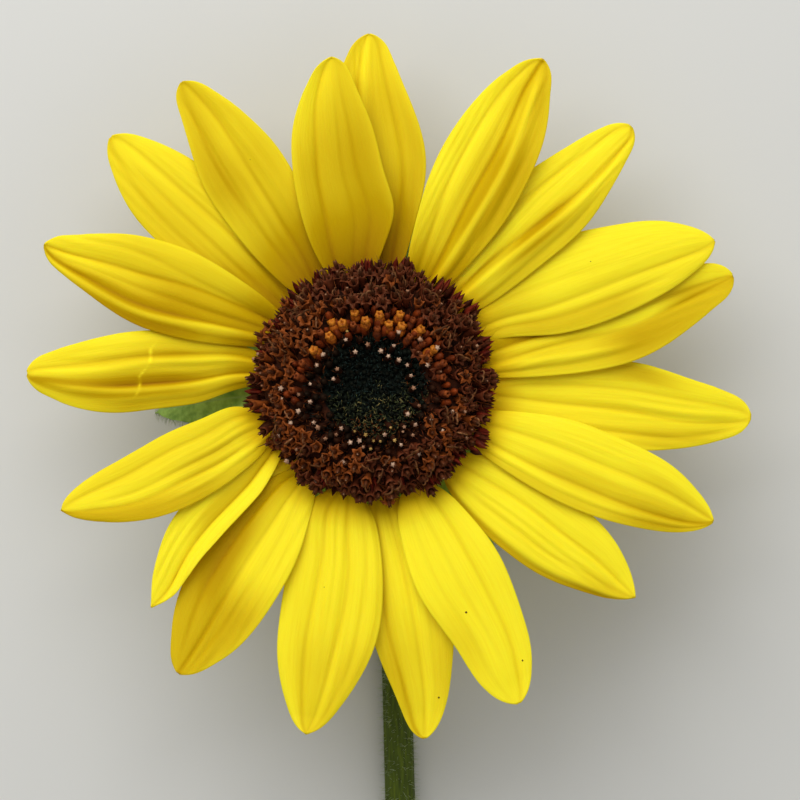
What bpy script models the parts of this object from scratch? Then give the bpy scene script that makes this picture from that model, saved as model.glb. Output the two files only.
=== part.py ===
# A cut bloom of a branching sunflower, lying face up on its bent stem.
#
# Metres, +Z up. The bloom is modelled about the middle of its disc, with its
# own +Z the way the disc faces and its own -Y the side that the stem leaves by.
# It is then tipped forward on its neck, and the whole is set down on z = 0 with
# the origin under the middle of its bounding box.

import math
import random

import bmesh
import bpy
from mathutils import Vector

mm = 0.001

# The bloom on its stem
forward_tilt = math.radians(10)  # the disc leans away from the stem
bend_radius = 12.0 * mm  # of the neck, along its middle
neck_straight = 1.5 * mm  # at either end of the bend
stem_radius = 2.55 * mm
stem_cut_radius = 2.65 * mm
stem_cut_at = -95.0 * mm  # along Y from the middle of the disc
stem_start_side = 3.3 * mm  # the stem's middle along X where the neck ends
stem_cut_side = 5.4 * mm
gap = 0.3 * mm  # between pieces that touch on the real plant

# Disc
eye_radius = 8.6 * mm  # the closed green buds in the middle
eye_edge_height = 3.4 * mm
eye_middle_height = 2.3 * mm
ring_outer_radius = 17.6 * mm
ring_crest_radius = 13.5 * mm
ring_crest_height = 3.6 * mm
ring_inner_dip = 0.3 * mm  # below the crest, all the way in to the eye
ring_outer_fall = 2.0 * mm  # from the crest to the outer edge
floret_foot_radius = 0.50 * mm
floret_mouth_radius = 0.85 * mm
floret_sunk = 1.2 * mm  # its foot lies this far inside the bed
# each row of open florets: radius, count, length, outward lean in degrees
floret_rows = (
    (10.0 * mm, 20, 3.0 * mm, 10),
    (12.3 * mm, 25, 3.6 * mm, 17),
    (14.5 * mm, 30, 3.9 * mm, 28),
    (16.7 * mm, 34, 4.6 * mm, 46),
)

# Receptacle
plateau_radius = 15.0 * mm  # the florets stand on it, and the rays meet its side
shelf_drop = 4.3 * mm  # the shelf that the rays' feet lie over
receptacle_radius = 17.8 * mm
receptacle_depth = 12.3 * mm
neck_top_radius = 4.6 * mm
# its rounded side below the shelf: inset from its radius, and height
receptacle_side = (
    (0.1 * mm, -6.2 * mm),
    (1.3 * mm, -8.6 * mm),
    (5.0 * mm, -11.0 * mm),
    (11.2 * mm, -11.9 * mm),
)

# Rays
ray_thickness = 0.5 * mm
ray_foot_radius = 16.0 * mm  # where every ray starts, against the plateau
ray_full_radius = 32.0 * mm  # from here out a ray has all of its roll and spread
ray_top_layer = -0.75 * mm  # height of the foot of a ray in layer 0
ray_layer_foot = 0.85 * mm  # from one layer to the next, at the feet
ray_layer_blade = 1.35 * mm  # and out along the blades
ray_crest_radius = 38.0 * mm  # the rays climb to here and droop a little beyond
ray_climb = 5.0 * mm
ray_droop = 1.5 * mm
ray_widest_at = 0.52  # share of the length
ray_foot_share = 0.36  # share of the full width
ray_tip_share = 0.09
ray_taper_powers = (2.1, 0.68)  # a full blade that draws in late to a blunt point
ray_lift_from_to = (0.35, 1.3)  # shares of the length between which a tip lifts
ray_ridge = 0.2 * mm
ray_steps_along = 10
ray_steps_across = 6

# name: angle at the foot, angle at the tip, reach from the middle of the disc,
# width, layer (0 on top), roll (+ lifts the anticlockwise edge), sideways bow
# (+ anticlockwise) and lift of the tip. Angles in degrees, anticlockwise from
# +X, lengths in millimetres.
rays = {
    "ray_01": (85, 90.3, 60.0, 15.6, 2.0, 0, 0.0, 0.3),
    "ray_02": (101, 96.7, 54.8, 16.6, 0.0, 0, 0.2, 2.7),
    "ray_03": (120, 122.2, 60.0, 13.6, 1.0, -3, -0.3, 1.8),
    "ray_04": (134, 136.0, 60.6, 14.8, 2.0, 0, 0.0, 0.6),
    "ray_05": (148, 156.8, 58.8, 14.2, 0.6, 0, 0.1, 1.5),
    "ray_06": (171, 178.3, 56.8, 13.2, 1.8, -4, 0.0, 0.6),
    "ray_07": (202, 203.6, 54.8, 12.7, 0.0, 6, 1.2, 1.8),
    "ray_08": (209, 226.5, 51.6, 10.0, 1.0, 5, 0.0, 1.2),
    "ray_09": (234.5, 237.0, 57.2, 14.6, 2.0, 3, -0.6, 1.2),
    "ray_10": (256, 259.9, 58.8, 16.5, 0.3, 0, 0.8, 2.4),
    "ray_11": (275, 278.2, 59.0, 13.7, 2.0, 0, 1.4, 0.3),
    "ray_12": (292, 294.5, 58.1, 15.2, 0.6, 0, 0.0, 2.1),
    "ray_13": (314, 320.2, 55.9, 13.8, 1.6, 0, 0.2, 1.5),
    "ray_14": (338, 337.4, 60.5, 13.6, 0.4, 0, 0.0, 1.5),
    "ray_15": (355, 355.0, 63.1, 14.6, 3.0, 0, 0.0, 0.3),
    "ray_16": (12, 16.6, 62.9, 13.8, 2.1, -8, -0.4, 0.6),
    "ray_17": (30, 22.4, 61.9, 15.6, 1.25, -8, 1.9, 1.2),
    "ray_18": (45, 44.9, 61.2, 13.6, 0.5, -8, 0.3, 1.5),
    "ray_19": (63, 61.7, 61.4, 14.9, -0.35, -4, 0.0, 2.1),
    "ray_20": (226, 232.1, 45.5, 8.9, 3.1, 0, 0.0, 0.0),
}

# Bracts, the green leaves behind the rays
bract_count = 18
bract_thickness = 0.6 * mm
bract_width = 8.4 * mm
bract_first_angle = 184.0
bract_swell_from = 0.30  # its width follows a half sine wave from this share of it
bract_tip_share = 0.06
bract_fold = 0.18  # how far its edges hang at the foot, as a share of its half width
bract_steps_along = 7
bract_steps_across = 4
# the two rings: length, foot radius, foot height, slope at the foot and most
# that a bract bends down from there, in degrees
spreading_bracts = (24.0 * mm, 18.3 * mm, -5.3 * mm, 9, 48)
reflexed_bracts = (27.0 * mm, 17.7 * mm, -7.6 * mm, 21, 62)

neck_steps = 12
spine_steps = 24
turn_steps = 36
tube_resolution = 4


def clear_scene():
    for obj in list(bpy.data.objects):
        bpy.data.objects.remove(obj)


def new_collection(name, hidden=False):
    collection = bpy.data.collections.new(name)
    collection.hide_render = hidden
    bpy.context.scene.collection.children.link(collection)
    return collection


def new_material(name, colour, roughness):
    material = bpy.data.materials.new(name)
    material.use_nodes = True
    shader = material.node_tree.nodes["Principled BSDF"]
    shader.inputs["Base Color"].default_value = (*colour, 1)
    shader.inputs["Roughness"].default_value = roughness
    shader.inputs["Metallic"].default_value = 0
    material.diffuse_color = (*colour, 1)
    return material


def new_object(name, data, material, collection, parent=None):
    obj = bpy.data.objects.new(name, data)
    obj.data.materials.append(material)
    obj.parent = parent
    collection.objects.link(obj)
    return obj


def smooth_step(low, high, value):
    share = min(max((value - low) / (high - low), 0), 1)
    return share * share * (3 - 2 * share)


def turned(name, profile, material, collection, parent):
    """A solid of revolution about Z from (radius, height) points, which run down its outer side."""
    mesh = bpy.data.meshes.new(name)
    points = [(radius, 0, height) for radius, height in profile]
    edges = [(i, i + 1) for i in range(len(points) - 1)]
    if profile[0][0] > 0:
        edges.append((len(points) - 1, 0))
    mesh.from_pydata(points, edges, [])
    obj = new_object(name, mesh, material, collection, parent)
    screw = obj.modifiers.new("turn", "SCREW")
    screw.steps = screw.render_steps = turn_steps
    screw.use_merge_vertices = True
    screw.merge_threshold = 0.0001 * mm
    return obj


def tube(name, points, radii, material, collection):
    curve = bpy.data.curves.new(name, "CURVE")
    curve.dimensions = "3D"
    curve.bevel_depth = 1
    curve.bevel_resolution = tube_resolution
    curve.use_fill_caps = True
    spline = curve.splines.new("POLY")
    spline.points.add(len(points) - 1)
    for point, place, radius in zip(spline.points, points, radii):
        point.co = (*place, 1)
        point.radius = radius
    return new_object(name, curve, material, collection)


def blade(name, surface, steps_along, steps_across, thickness, material, collection, parent):
    """A thin leaf: surface gives the point at a share of the length and from -1 to 1 across."""
    mesh = bpy.data.meshes.new(name)
    form = bmesh.new()
    bmesh.ops.create_grid(
        form, x_segments=steps_along, y_segments=steps_across, size=1
    )
    for vertex in form.verts:
        vertex.co = surface((vertex.co.x + 1) / 2, vertex.co.y)
    form.to_mesh(mesh)
    form.free()
    obj = new_object(name, mesh, material, collection, parent)
    solidify = obj.modifiers.new("thickness", "SOLIDIFY")
    solidify.thickness = thickness
    solidify.offset = 0
    return obj


# ---- Stem ----


def head_height():
    """Height of the middle of the disc, with the stem lying on the floor."""
    turn = math.pi / 2 - forward_tilt
    drop_at_bend = bend_radius * (1 - math.cos(turn))
    drop_at_head = (receptacle_depth + gap + neck_straight) * math.cos(forward_tilt)
    return stem_cut_radius + drop_at_bend + drop_at_head


def neck_points(steps):
    """The neck's middle line, from the receptacle round to the lying stem."""
    turn = math.pi / 2 - forward_tilt
    top = -(receptacle_depth + gap + neck_straight) * math.sin(forward_tilt)
    straight = Vector((0, math.sin(forward_tilt), math.cos(forward_tilt))) * neck_straight
    points = []
    for step in range(steps + 1):
        share = step / steps
        angle = turn * (1 - share)
        along = bend_radius * (math.sin(turn) - math.sin(angle))
        height = stem_cut_radius + bend_radius * (1 - math.cos(angle))
        side = stem_start_side * smooth_step(0, 1, share)
        points.append(Vector((side, top - along, height)))
    return [points[0] + straight, *points, points[-1] - Vector((0, neck_straight, 0))]


def add_stem(material, collection):
    bend = neck_points(neck_steps)
    radii = [
        stem_radius + (neck_top_radius - stem_radius) * max(1 - i / neck_steps, 0) ** 3
        for i in range(len(bend))
    ]
    neck = tube("neck", bend, radii, material, collection)
    start = bend[-1] + Vector((0, -gap, 0))
    end = Vector((stem_cut_side, stem_cut_at, stem_cut_radius))
    stem = tube("stem", [start, end], [stem_radius, stem_cut_radius], material, collection)
    return neck, stem


# ---- Disc and receptacle ----


def add_receptacle(material, collection, parent):
    profile = (
        (0, -gap),
        (plateau_radius, -gap),
        (plateau_radius, -shelf_drop),
        (receptacle_radius, -shelf_drop),
        *((receptacle_radius - inset, height) for inset, height in receptacle_side),
        (neck_top_radius, -receptacle_depth),
        (0, -receptacle_depth),
    )
    return turned("receptacle", profile, material, collection, parent)


def add_eye(material, collection, parent):
    profile = (
        (0, eye_middle_height),
        (eye_radius * 0.5, eye_middle_height + 0.25 * mm),
        (eye_radius * 0.85, eye_edge_height - 0.2 * mm),
        (eye_radius, eye_edge_height),
        (eye_radius, 0),
        (0, 0),
    )
    return turned("disc_centre", profile, material, collection, parent)


def ring_height(radius):
    """Top of the bed that the open florets stand in."""
    if radius < ring_crest_radius:
        return ring_crest_height - ring_inner_dip
    fall = (radius - ring_crest_radius) / (ring_outer_radius - ring_crest_radius)
    return ring_crest_height - ring_outer_fall * fall**2


def floret_mesh(foot, direction, length):
    """One open floret: a short tube that widens to its mouth."""
    mesh = bpy.data.meshes.new("floret")
    form = bmesh.new()
    bmesh.ops.create_cone(
        form,
        cap_ends=True,
        segments=6,
        radius1=floret_foot_radius,
        radius2=floret_mouth_radius,
        depth=length,
    )
    turn = direction.to_track_quat("Z", "Y").to_matrix()
    for vertex in form.verts:
        vertex.co = turn @ (vertex.co + Vector((0, 0, length / 2))) + foot
    form.to_mesh(mesh)
    form.free()
    return mesh


def add_floret_ring(material, collection, helpers, parent):
    inner = eye_radius + gap
    profile = (
        (inner, ring_height(inner)),
        (ring_crest_radius, ring_height(ring_crest_radius)),
        (ring_outer_radius - 1.5 * mm, ring_height(ring_outer_radius - 1.5 * mm)),
        (ring_outer_radius, ring_height(ring_outer_radius)),
        (ring_outer_radius, 0.6 * mm),
        (plateau_radius, 0),
        (inner, 0),
    )
    ring = turned("floret_ring", profile, material, collection, None)
    chance = random.Random(7)
    for radius, count, length, lean in floret_rows:
        for i in range(count):
            angle = 2 * math.pi * (i + chance.uniform(-0.2, 0.2)) / count
            tip_lean = math.radians(lean + chance.uniform(-7, 7))
            outward = Vector((math.cos(angle), math.sin(angle), 0))
            foot = outward * radius + Vector((0, 0, ring_height(radius) - floret_sunk))
            direction = outward * math.sin(tip_lean) + Vector((0, 0, math.cos(tip_lean)))
            mesh = floret_mesh(foot, direction, length * chance.uniform(0.85, 1.0))
            helpers.objects.link(bpy.data.objects.new("floret", mesh))
    union = ring.modifiers.new("florets", "BOOLEAN")
    union.operation = "UNION"
    union.operand_type = "COLLECTION"
    union.collection = helpers
    union.solver = "EXACT"
    bpy.context.view_layer.update()
    graph = bpy.context.evaluated_depsgraph_get()
    fused = bpy.data.meshes.new_from_object(ring.evaluated_get(graph))
    ring.modifiers.clear()
    ring.data = fused
    ring.parent = parent
    for obj in list(helpers.objects):
        bpy.data.objects.remove(obj)
    return ring


# ---- Rays ----


def ray_half_width(share, width):
    if share < ray_widest_at:
        grown = math.sin(math.pi / 2 * share / ray_widest_at)
        return width / 2 * (ray_foot_share + (1 - ray_foot_share) * grown)
    taper = (share - ray_widest_at) / (1 - ray_widest_at)
    inner, outer = ray_taper_powers
    return width / 2 * max((1 - taper**inner) ** outer, ray_tip_share)


def ray_height(radius):
    """How high the rays stand over their feet, cupped out to the crest."""
    out = (radius - ray_foot_radius) / (ray_crest_radius - ray_foot_radius)
    return ray_climb * math.sin(math.pi / 2 * min(out, 1)) - ray_droop * max(out - 1, 0) ** 2


def ray_surface(foot_angle, tip_angle, reach, width, layer, roll, bow, lift):
    foot = ray_foot_radius * Vector((math.cos(foot_angle), math.sin(foot_angle), 0))
    tip = reach * Vector((math.cos(tip_angle), math.sin(tip_angle), 0))
    side = Vector((0, 0, 1)).cross(tip - foot).normalized()

    def surface(share, across):
        offset = across * ray_half_width(share, width)
        point = foot.lerp(tip, share) + side * (offset + bow * math.sin(math.pi * share))
        spread = smooth_step(ray_foot_radius, ray_full_radius, point.length)
        step = ray_layer_foot + (ray_layer_blade - ray_layer_foot) * spread
        ridge = ray_ridge * math.cos(3 * math.pi * across) * math.sin(math.pi * share)
        rise = lift * smooth_step(*ray_lift_from_to, share)
        point.z = ray_top_layer - layer * step + ray_height(point.length) + ridge + rise
        point.z += offset * math.tan(roll) * spread
        return point

    return surface


def add_rays(material, collection, parent):
    for name, sizes in rays.items():
        foot_angle, tip_angle, reach, width, layer, roll, bow, lift = sizes
        surface = ray_surface(
            math.radians(foot_angle),
            math.radians(tip_angle),
            reach * mm,
            width * mm,
            layer,
            math.radians(roll),
            bow * mm,
            lift * mm,
        )
        blade(
            name,
            surface,
            ray_steps_along,
            ray_steps_across,
            ray_thickness,
            material,
            collection,
            parent,
        )


# ---- Bracts ----


def bract_half_width(share):
    """Broad above the foot, drawn out to a long point."""
    wave = bract_swell_from + (1.02 - bract_swell_from) * share
    swell = math.sin(math.pi * min(wave, 1)) ** 0.8
    return bract_width / 2 * max(swell, bract_tip_share)


def bract_spine(length, radius, height, slope, bend):
    """(radius, height) points down the middle of a bract that bends evenly downward."""
    places = [(radius, height)]
    for i in range(spine_steps):
        slant = slope + bend * (i + 0.5) / spine_steps
        radius += length / spine_steps * math.cos(slant)
        height -= length / spine_steps * math.sin(slant)
        places.append((radius, height))
    return places


def floor_height(angle, radius):
    """Height of the floor along the disc's own axis, at this angle and radius."""
    forward = radius * math.sin(angle)
    return (forward * math.sin(forward_tilt) - head_height()) / math.cos(forward_tilt)


def bend_to_floor(angle, length, radius, height, slope, most):
    """How far a bract bends before its point meets the floor, or most if it doesn't."""
    low, high = math.radians(-60), most
    for _ in range(30):
        middle = (low + high) / 2
        tip_radius, tip_height = bract_spine(length, radius, height, slope, middle)[-1]
        if tip_height - bract_thickness / 2 < floor_height(angle, tip_radius):
            high = middle
        else:
            low = middle
    return low


def bract_surface(angle, places, width_scale):
    outward = Vector((math.cos(angle), math.sin(angle), 0))
    side = Vector((-outward.y, outward.x, 0))

    def surface(share, across):
        whole = share * (len(places) - 1)
        index = min(int(whole), len(places) - 2)
        part = whole - index
        radius = places[index][0] * (1 - part) + places[index + 1][0] * part
        height = places[index][1] * (1 - part) + places[index + 1][1] * part
        half = bract_half_width(share) * width_scale
        fold = bract_fold * half * across * across * (1 - share)
        return outward * radius + side * half * across + Vector((0, 0, height - fold))

    return surface


def add_bracts(material, collection, parent):
    chance = random.Random(3)
    for i in range(bract_count):
        angle = math.radians(bract_first_angle + 360 / bract_count * i + chance.uniform(-2, 2))
        length, radius, height, slope, most = reflexed_bracts if i % 2 else spreading_bracts
        length *= chance.uniform(0.9, 1.0)
        slope = math.radians(slope)
        bend = bend_to_floor(angle, length, radius, height, slope, math.radians(most))
        places = bract_spine(length, radius, height, slope, bend)
        blade(
            f"bract_{i + 1:02d}",
            bract_surface(angle, places, chance.uniform(0.9, 1.0)),
            bract_steps_along,
            bract_steps_across,
            bract_thickness,
            material,
            collection,
            parent,
        )


# ---- The whole ----


def set_down(root, collection):
    """Puts the origin on the floor under the middle of the bounding box."""
    bpy.context.view_layer.update()
    graph = bpy.context.evaluated_depsgraph_get()
    corners = []
    for obj in collection.objects:
        if obj.type == "EMPTY":
            continue
        evaluated = obj.evaluated_get(graph)
        mesh = evaluated.to_mesh()
        corners += [evaluated.matrix_world @ vertex.co for vertex in mesh.vertices]
        evaluated.to_mesh_clear()
    low = Vector(min(corner[axis] for corner in corners) for axis in range(3))
    high = Vector(max(corner[axis] for corner in corners) for axis in range(3))
    root.location -= Vector(((low.x + high.x) / 2, (low.y + high.y) / 2, low.z))


def main():
    clear_scene()
    parts = new_collection("sunflower_bloom")
    helpers = new_collection("florets", hidden=True)
    green = new_material("stem_green", (0.075, 0.105, 0.012), 0.6)
    bract_green = new_material("bract_green", (0.09, 0.20, 0.045), 0.6)
    yellow = new_material("ray_yellow", (0.95, 0.72, 0.012), 0.5)
    maroon = new_material("floret_maroon", (0.052, 0.010, 0.004), 0.7)
    dark = new_material("eye_green_black", (0.008, 0.014, 0.008), 0.8)

    root = bpy.data.objects.new("bloom_and_stem", None)
    head = bpy.data.objects.new("bloom", None)
    parts.objects.link(root)
    parts.objects.link(head)
    head.parent = root
    head.location = (0, 0, head_height())
    head.rotation_euler = (-forward_tilt, 0, 0)

    for piece in add_stem(green, parts):
        piece.parent = root
    add_receptacle(bract_green, parts, head)
    add_eye(dark, parts, head)
    add_floret_ring(maroon, parts, helpers, head)
    add_rays(yellow, parts, head)
    add_bracts(bract_green, parts, head)
    set_down(root, parts)


main()
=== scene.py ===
# Looks of a cut sunflower bloom that lies face up on its bent stem.
import math
import random
from collections import defaultdict

import bpy
import numpy as np
from mathutils import Matrix, Vector


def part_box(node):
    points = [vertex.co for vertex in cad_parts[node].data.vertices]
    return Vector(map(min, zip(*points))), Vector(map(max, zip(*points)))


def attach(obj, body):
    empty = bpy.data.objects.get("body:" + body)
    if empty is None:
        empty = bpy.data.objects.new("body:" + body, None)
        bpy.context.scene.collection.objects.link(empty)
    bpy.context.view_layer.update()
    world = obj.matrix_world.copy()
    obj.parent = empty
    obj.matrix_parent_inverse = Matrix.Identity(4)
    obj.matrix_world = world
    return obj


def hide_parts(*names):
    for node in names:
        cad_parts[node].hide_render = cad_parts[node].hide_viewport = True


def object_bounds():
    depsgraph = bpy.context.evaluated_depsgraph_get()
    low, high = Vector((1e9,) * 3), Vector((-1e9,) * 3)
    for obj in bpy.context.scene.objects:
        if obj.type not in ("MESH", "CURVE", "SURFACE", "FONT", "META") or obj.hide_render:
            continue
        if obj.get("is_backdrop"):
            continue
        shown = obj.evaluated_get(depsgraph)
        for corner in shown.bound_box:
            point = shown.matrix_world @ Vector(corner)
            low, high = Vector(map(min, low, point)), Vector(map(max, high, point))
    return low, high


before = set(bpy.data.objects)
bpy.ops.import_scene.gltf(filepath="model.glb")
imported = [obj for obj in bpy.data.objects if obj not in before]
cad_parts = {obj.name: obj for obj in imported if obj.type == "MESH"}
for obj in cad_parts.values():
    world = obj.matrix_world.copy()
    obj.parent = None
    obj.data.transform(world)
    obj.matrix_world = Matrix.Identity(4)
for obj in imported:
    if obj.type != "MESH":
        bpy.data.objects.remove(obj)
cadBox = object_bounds()
mm = 0.001
print("frame loaded")

# The bloom's own axes: +Z the way the disc faces, -Y towards the stem's side
bloomAxes = {"tilt": math.radians(10), "eyeRadius": 8.6 * mm}
eyeLow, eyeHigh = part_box("disc_centre")
discMiddle = Vector(
    (
        (eyeLow.x + eyeHigh.x) / 2,
        eyeLow.y + bloomAxes["eyeRadius"] * math.cos(bloomAxes["tilt"]),
        eyeLow.z + bloomAxes["eyeRadius"] * math.sin(bloomAxes["tilt"]),
    )
)
toWorld = Matrix.Translation(discMiddle) @ Matrix.Rotation(-bloomAxes["tilt"], 4, "X")


def hexColour(text):
    parts = [int(text[i : i + 2], 16) / 255 for i in (1, 3, 5)]
    return (*[p / 12.92 if p <= 0.04045 else ((p + 0.055) / 1.055) ** 2.4 for p in parts], 1)


def newMaterial(name, colour, roughness, gloss, **sockets):
    material = bpy.data.materials.new(name)
    material.use_nodes = True
    shader = material.node_tree.nodes["Principled BSDF"]
    shader.inputs["Base Color"].default_value = hexColour(colour)
    shader.inputs["Roughness"].default_value = roughness
    shader.inputs["Specular IOR Level"].default_value = gloss
    for socket, value in sockets.items():
        shader.inputs[socket.replace("_", " ")].default_value = value
    return material


def addNode(material, kind, settings=None, links=None):
    # a setting is a ramp's stops, a property of the node or else the value of an input
    node = material.node_tree.nodes.new("ShaderNode" + kind)
    for name, value in (settings or {}).items():
        if name == "stops":
            for number, (place, colour) in enumerate(value):
                elements = node.color_ramp.elements
                element = elements[number] if number < 2 else elements.new(place)
                element.position, element.color = place, hexColour(colour)
        elif isinstance(name, str) and hasattr(node, name):
            setattr(node, name, value)
        else:
            node.inputs[name].default_value = value
    for name, source in (links or {}).items():
        material.node_tree.links.new(source, node.inputs[name])
    return node


def dress(material, colour, relief=None, strength=0.6, depth=0.0):
    # Gives a material the colour and, where it has a depth, the relief that its nodes make
    inputs = material.node_tree.nodes["Principled BSDF"].inputs
    material.node_tree.links.new(colour, inputs["Base Color"])
    if depth:
        settings = {"Strength": strength, "Distance": depth}
        bump = addNode(material, "Bump", settings, {"Height": relief})
        material.node_tree.links.new(bump.outputs["Normal"], inputs["Normal"])
    return material


def blotched(name, tones, roughness, size, gloss=0.15, depth=0.0, meet=(0.36, 0.64), strength=0.6):
    # Living tissue, a light and a dark tone that run into each other in blotches of that size
    light, dark = tones
    material = newMaterial(name, light, roughness, gloss)
    place = addNode(material, "TexCoord").outputs["Object"]
    grain = {"Scale": 1 / size, "Detail": 3.0, "Roughness": 0.6}
    tone = addNode(material, "TexNoise", grain, {"Vector": place}).outputs["Fac"]
    ramp = addNode(material, "ValToRGB", {"stops": zip(meet, (dark, light))}, {"Fac": tone})
    return dress(material, ramp.outputs["Color"], tone, strength, depth)


def smoothStep(low, high, value):
    share = np.clip((value - low) / (high - low), 0, 1)
    return share * share * (3 - 2 * share)


def inWorld(points):
    matrix = np.array(toWorld)
    return points @ matrix[:3, :3].T + matrix[:3, 3]


def meshPiece(name, points, faces, material):
    mesh = bpy.data.meshes.new(name)
    mesh.from_pydata(points.tolist(), [], faces)
    mesh.materials.append(material)
    mesh.polygons.foreach_set("use_smooth", [True] * len(mesh.polygons))
    piece = bpy.data.objects.new(name, mesh)
    bpy.context.scene.collection.objects.link(piece)
    return piece


def onPlant(piece, slot, *nodes):
    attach(piece, "root")
    if nodes:
        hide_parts(*nodes)


def readPoints(piece):
    points = np.empty(len(piece.data.vertices) * 3)
    piece.data.vertices.foreach_get("co", points)
    return points.reshape(-1, 3)


def setPoints(piece, points):
    piece.data.vertices.foreach_set("co", points.reshape(-1))
    piece.data.update()


def gridPiece(name, stepsAlong, stepsAcross, material):
    # A flat sheet ready to be shaped, with the share along and the place across, from
    # -1 to 1, of each of its points
    bpy.ops.object.select_all(action="DESELECT")
    bpy.ops.mesh.primitive_grid_add(
        x_subdivisions=stepsAlong, y_subdivisions=stepsAcross, size=2, location=(0, 0, 0)
    )
    piece = bpy.context.object
    piece.name = piece.data.name = name
    piece.data.materials.append(material)
    piece.data.uv_layers[0].name = "blade"
    bpy.ops.object.shade_smooth()
    points = readPoints(piece)
    return piece, (points[:, 0] + 1) / 2, points[:, 1]


def thicken(piece, thickness, edgeShare=1.0):
    # an edgeShare under 1 follows the piece's group of weights out to thinner edges
    solidify = piece.modifiers.new("thickness", "SOLIDIFY")
    solidify.thickness = thickness
    solidify.offset = 0
    if piece.vertex_groups:
        solidify.vertex_group = piece.vertex_groups[0].name
        solidify.thickness_vertex_group = edgeShare
    bpy.ops.object.select_all(action="DESELECT")
    bpy.context.view_layer.objects.active = piece
    piece.select_set(True)
    bpy.ops.object.modifier_apply(modifier=solidify.name)


def closeMesh():
    # In edit mode: merges the seam, fills the open ends, turns the faces outwards and leaves
    bpy.ops.mesh.select_all(action="SELECT")
    bpy.ops.mesh.remove_doubles(threshold=1e-6)
    bpy.ops.mesh.select_all(action="DESELECT")
    bpy.ops.mesh.select_non_manifold()
    bpy.ops.mesh.fill_holes(sides=0)
    bpy.ops.mesh.select_all(action="SELECT")
    bpy.ops.mesh.normals_make_consistent(inside=False)
    bpy.ops.object.mode_set(mode="OBJECT")


def outwards(angle):
    return Vector((math.cos(angle), math.sin(angle), 0))


def leaning(angle, lean):
    return outwards(angle) * math.sin(lean) + Vector((0, 0, math.cos(lean)))


def scatter(chance):
    return Vector((chance.uniform(-1, 1), chance.uniform(-1, 1), 0))


def closedFaces(levels, sides):
    # Faces between rings of points, with one over each end
    faces = []
    for level in range(levels - 1):
        for k in range(sides):
            a, b = level * sides + k, level * sides + (k + 1) % sides
            faces.append([a, b, b + sides, a + sides])
    faces.append(list(reversed(range(sides))))
    faces.append([(levels - 1) * sides + k for k in range(sides)])
    return faces


def ringForm(rings, sides):
    # A closed form about Z from rings of (radius, height) patterns that repeat round it
    points = []
    for ring in rings:
        for k in range(sides):
            radius, height = ring[k % len(ring)]
            angle = 2 * math.pi * k / sides
            points.append((radius * math.cos(angle), radius * math.sin(angle), height))
    return np.array(points), closedFaces(len(rings), sides)


def tubeForm(path, radii, sides):
    # A closed tube along a path, tapered by its radii
    points = []
    for i, place in enumerate(path):
        ahead = path[min(i + 1, len(path) - 1)] - path[max(i - 1, 0)]
        turn = ahead.normalized().to_track_quat("Z", "Y")
        for k in range(sides):
            points.append(place + turn @ (outwards(2 * math.pi * k / sides) * radii[i]))
    return np.array(points), closedFaces(len(path), sides)


def joinForms(forms):
    points, faces, start = [], [], 0
    for formPoints, formFaces in forms:
        points.append(formPoints)
        faces += [[corner + start for corner in face] for face in formFaces]
        start += len(formPoints)
    return np.concatenate(points), faces


def joinCopies(points, faces, matrices):
    # One mesh from many copies of a small form
    matrices = np.array(matrices)
    moved = np.einsum("nij,pj->npi", matrices[:, :3, :3], points) + matrices[:, None, :3, 3]
    return joinForms((copy, faces) for copy in moved)


studio = {
    "frameWidth": 132.4 * mm,  # of what the camera sees, at the middle of the disc
    "aimAside": (4.8 * mm, -2.65 * mm),  # from the middle of the disc
    "distance": 500 * mm,
    "sensor": 36,
    "floorSize": 6,
    "floorColour": "#d9d8d2",
    "skyColour": "#f4f6fa",
    "sky": 0.40,
    # energy, side and place of each lamp, from the middle of the disc
    "lamps": {
        "keySoftbox": (4.7, 0.75, (-0.15, 0.45, 0.43)),
        "fillSoftbox": (0.4, 0.60, (0.30, -0.40, 0.45)),
    },
}


def buildStudio():
    bpy.ops.object.select_all(action="DESELECT")
    bpy.ops.mesh.primitive_plane_add(size=studio["floorSize"], location=(0, 0, 0))
    floor = bpy.context.object
    floor.name = "floor"
    floor.data.materials.append(newMaterial("paleMattCard", studio["floorColour"], 0.9, 0.5))
    floor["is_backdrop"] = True

    world = bpy.data.worlds.new("softRoom")
    world.use_nodes = True
    sky = world.node_tree.nodes["Background"].inputs
    sky["Color"].default_value = hexColour(studio["skyColour"])
    sky["Strength"].default_value = studio["sky"]
    bpy.context.scene.world = world

    for name, (energy, size, place) in studio["lamps"].items():
        lamp = bpy.data.lights.new(name, "AREA")
        lamp.shape = "SQUARE"
        lamp.size = size
        lamp.energy = energy
        holder = bpy.data.objects.new(name, lamp)
        holder.location = discMiddle + Vector(place)
        holder.rotation_euler = (-Vector(place)).to_track_quat("-Z", "Y").to_euler()
        bpy.context.scene.collection.objects.link(holder)

    lens = bpy.data.cameras.new("camera")
    lens.sensor_width = studio["sensor"]
    lens.lens = studio["sensor"] * studio["distance"] / studio["frameWidth"]
    camera = bpy.data.objects.new("camera", lens)
    camera.location = discMiddle + Vector((*studio["aimAside"], studio["distance"]))
    bpy.context.scene.collection.objects.link(camera)
    bpy.context.scene.camera = camera
    bpy.context.scene.view_settings.view_transform = "Standard"


buildStudio()
print("studio built")

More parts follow.
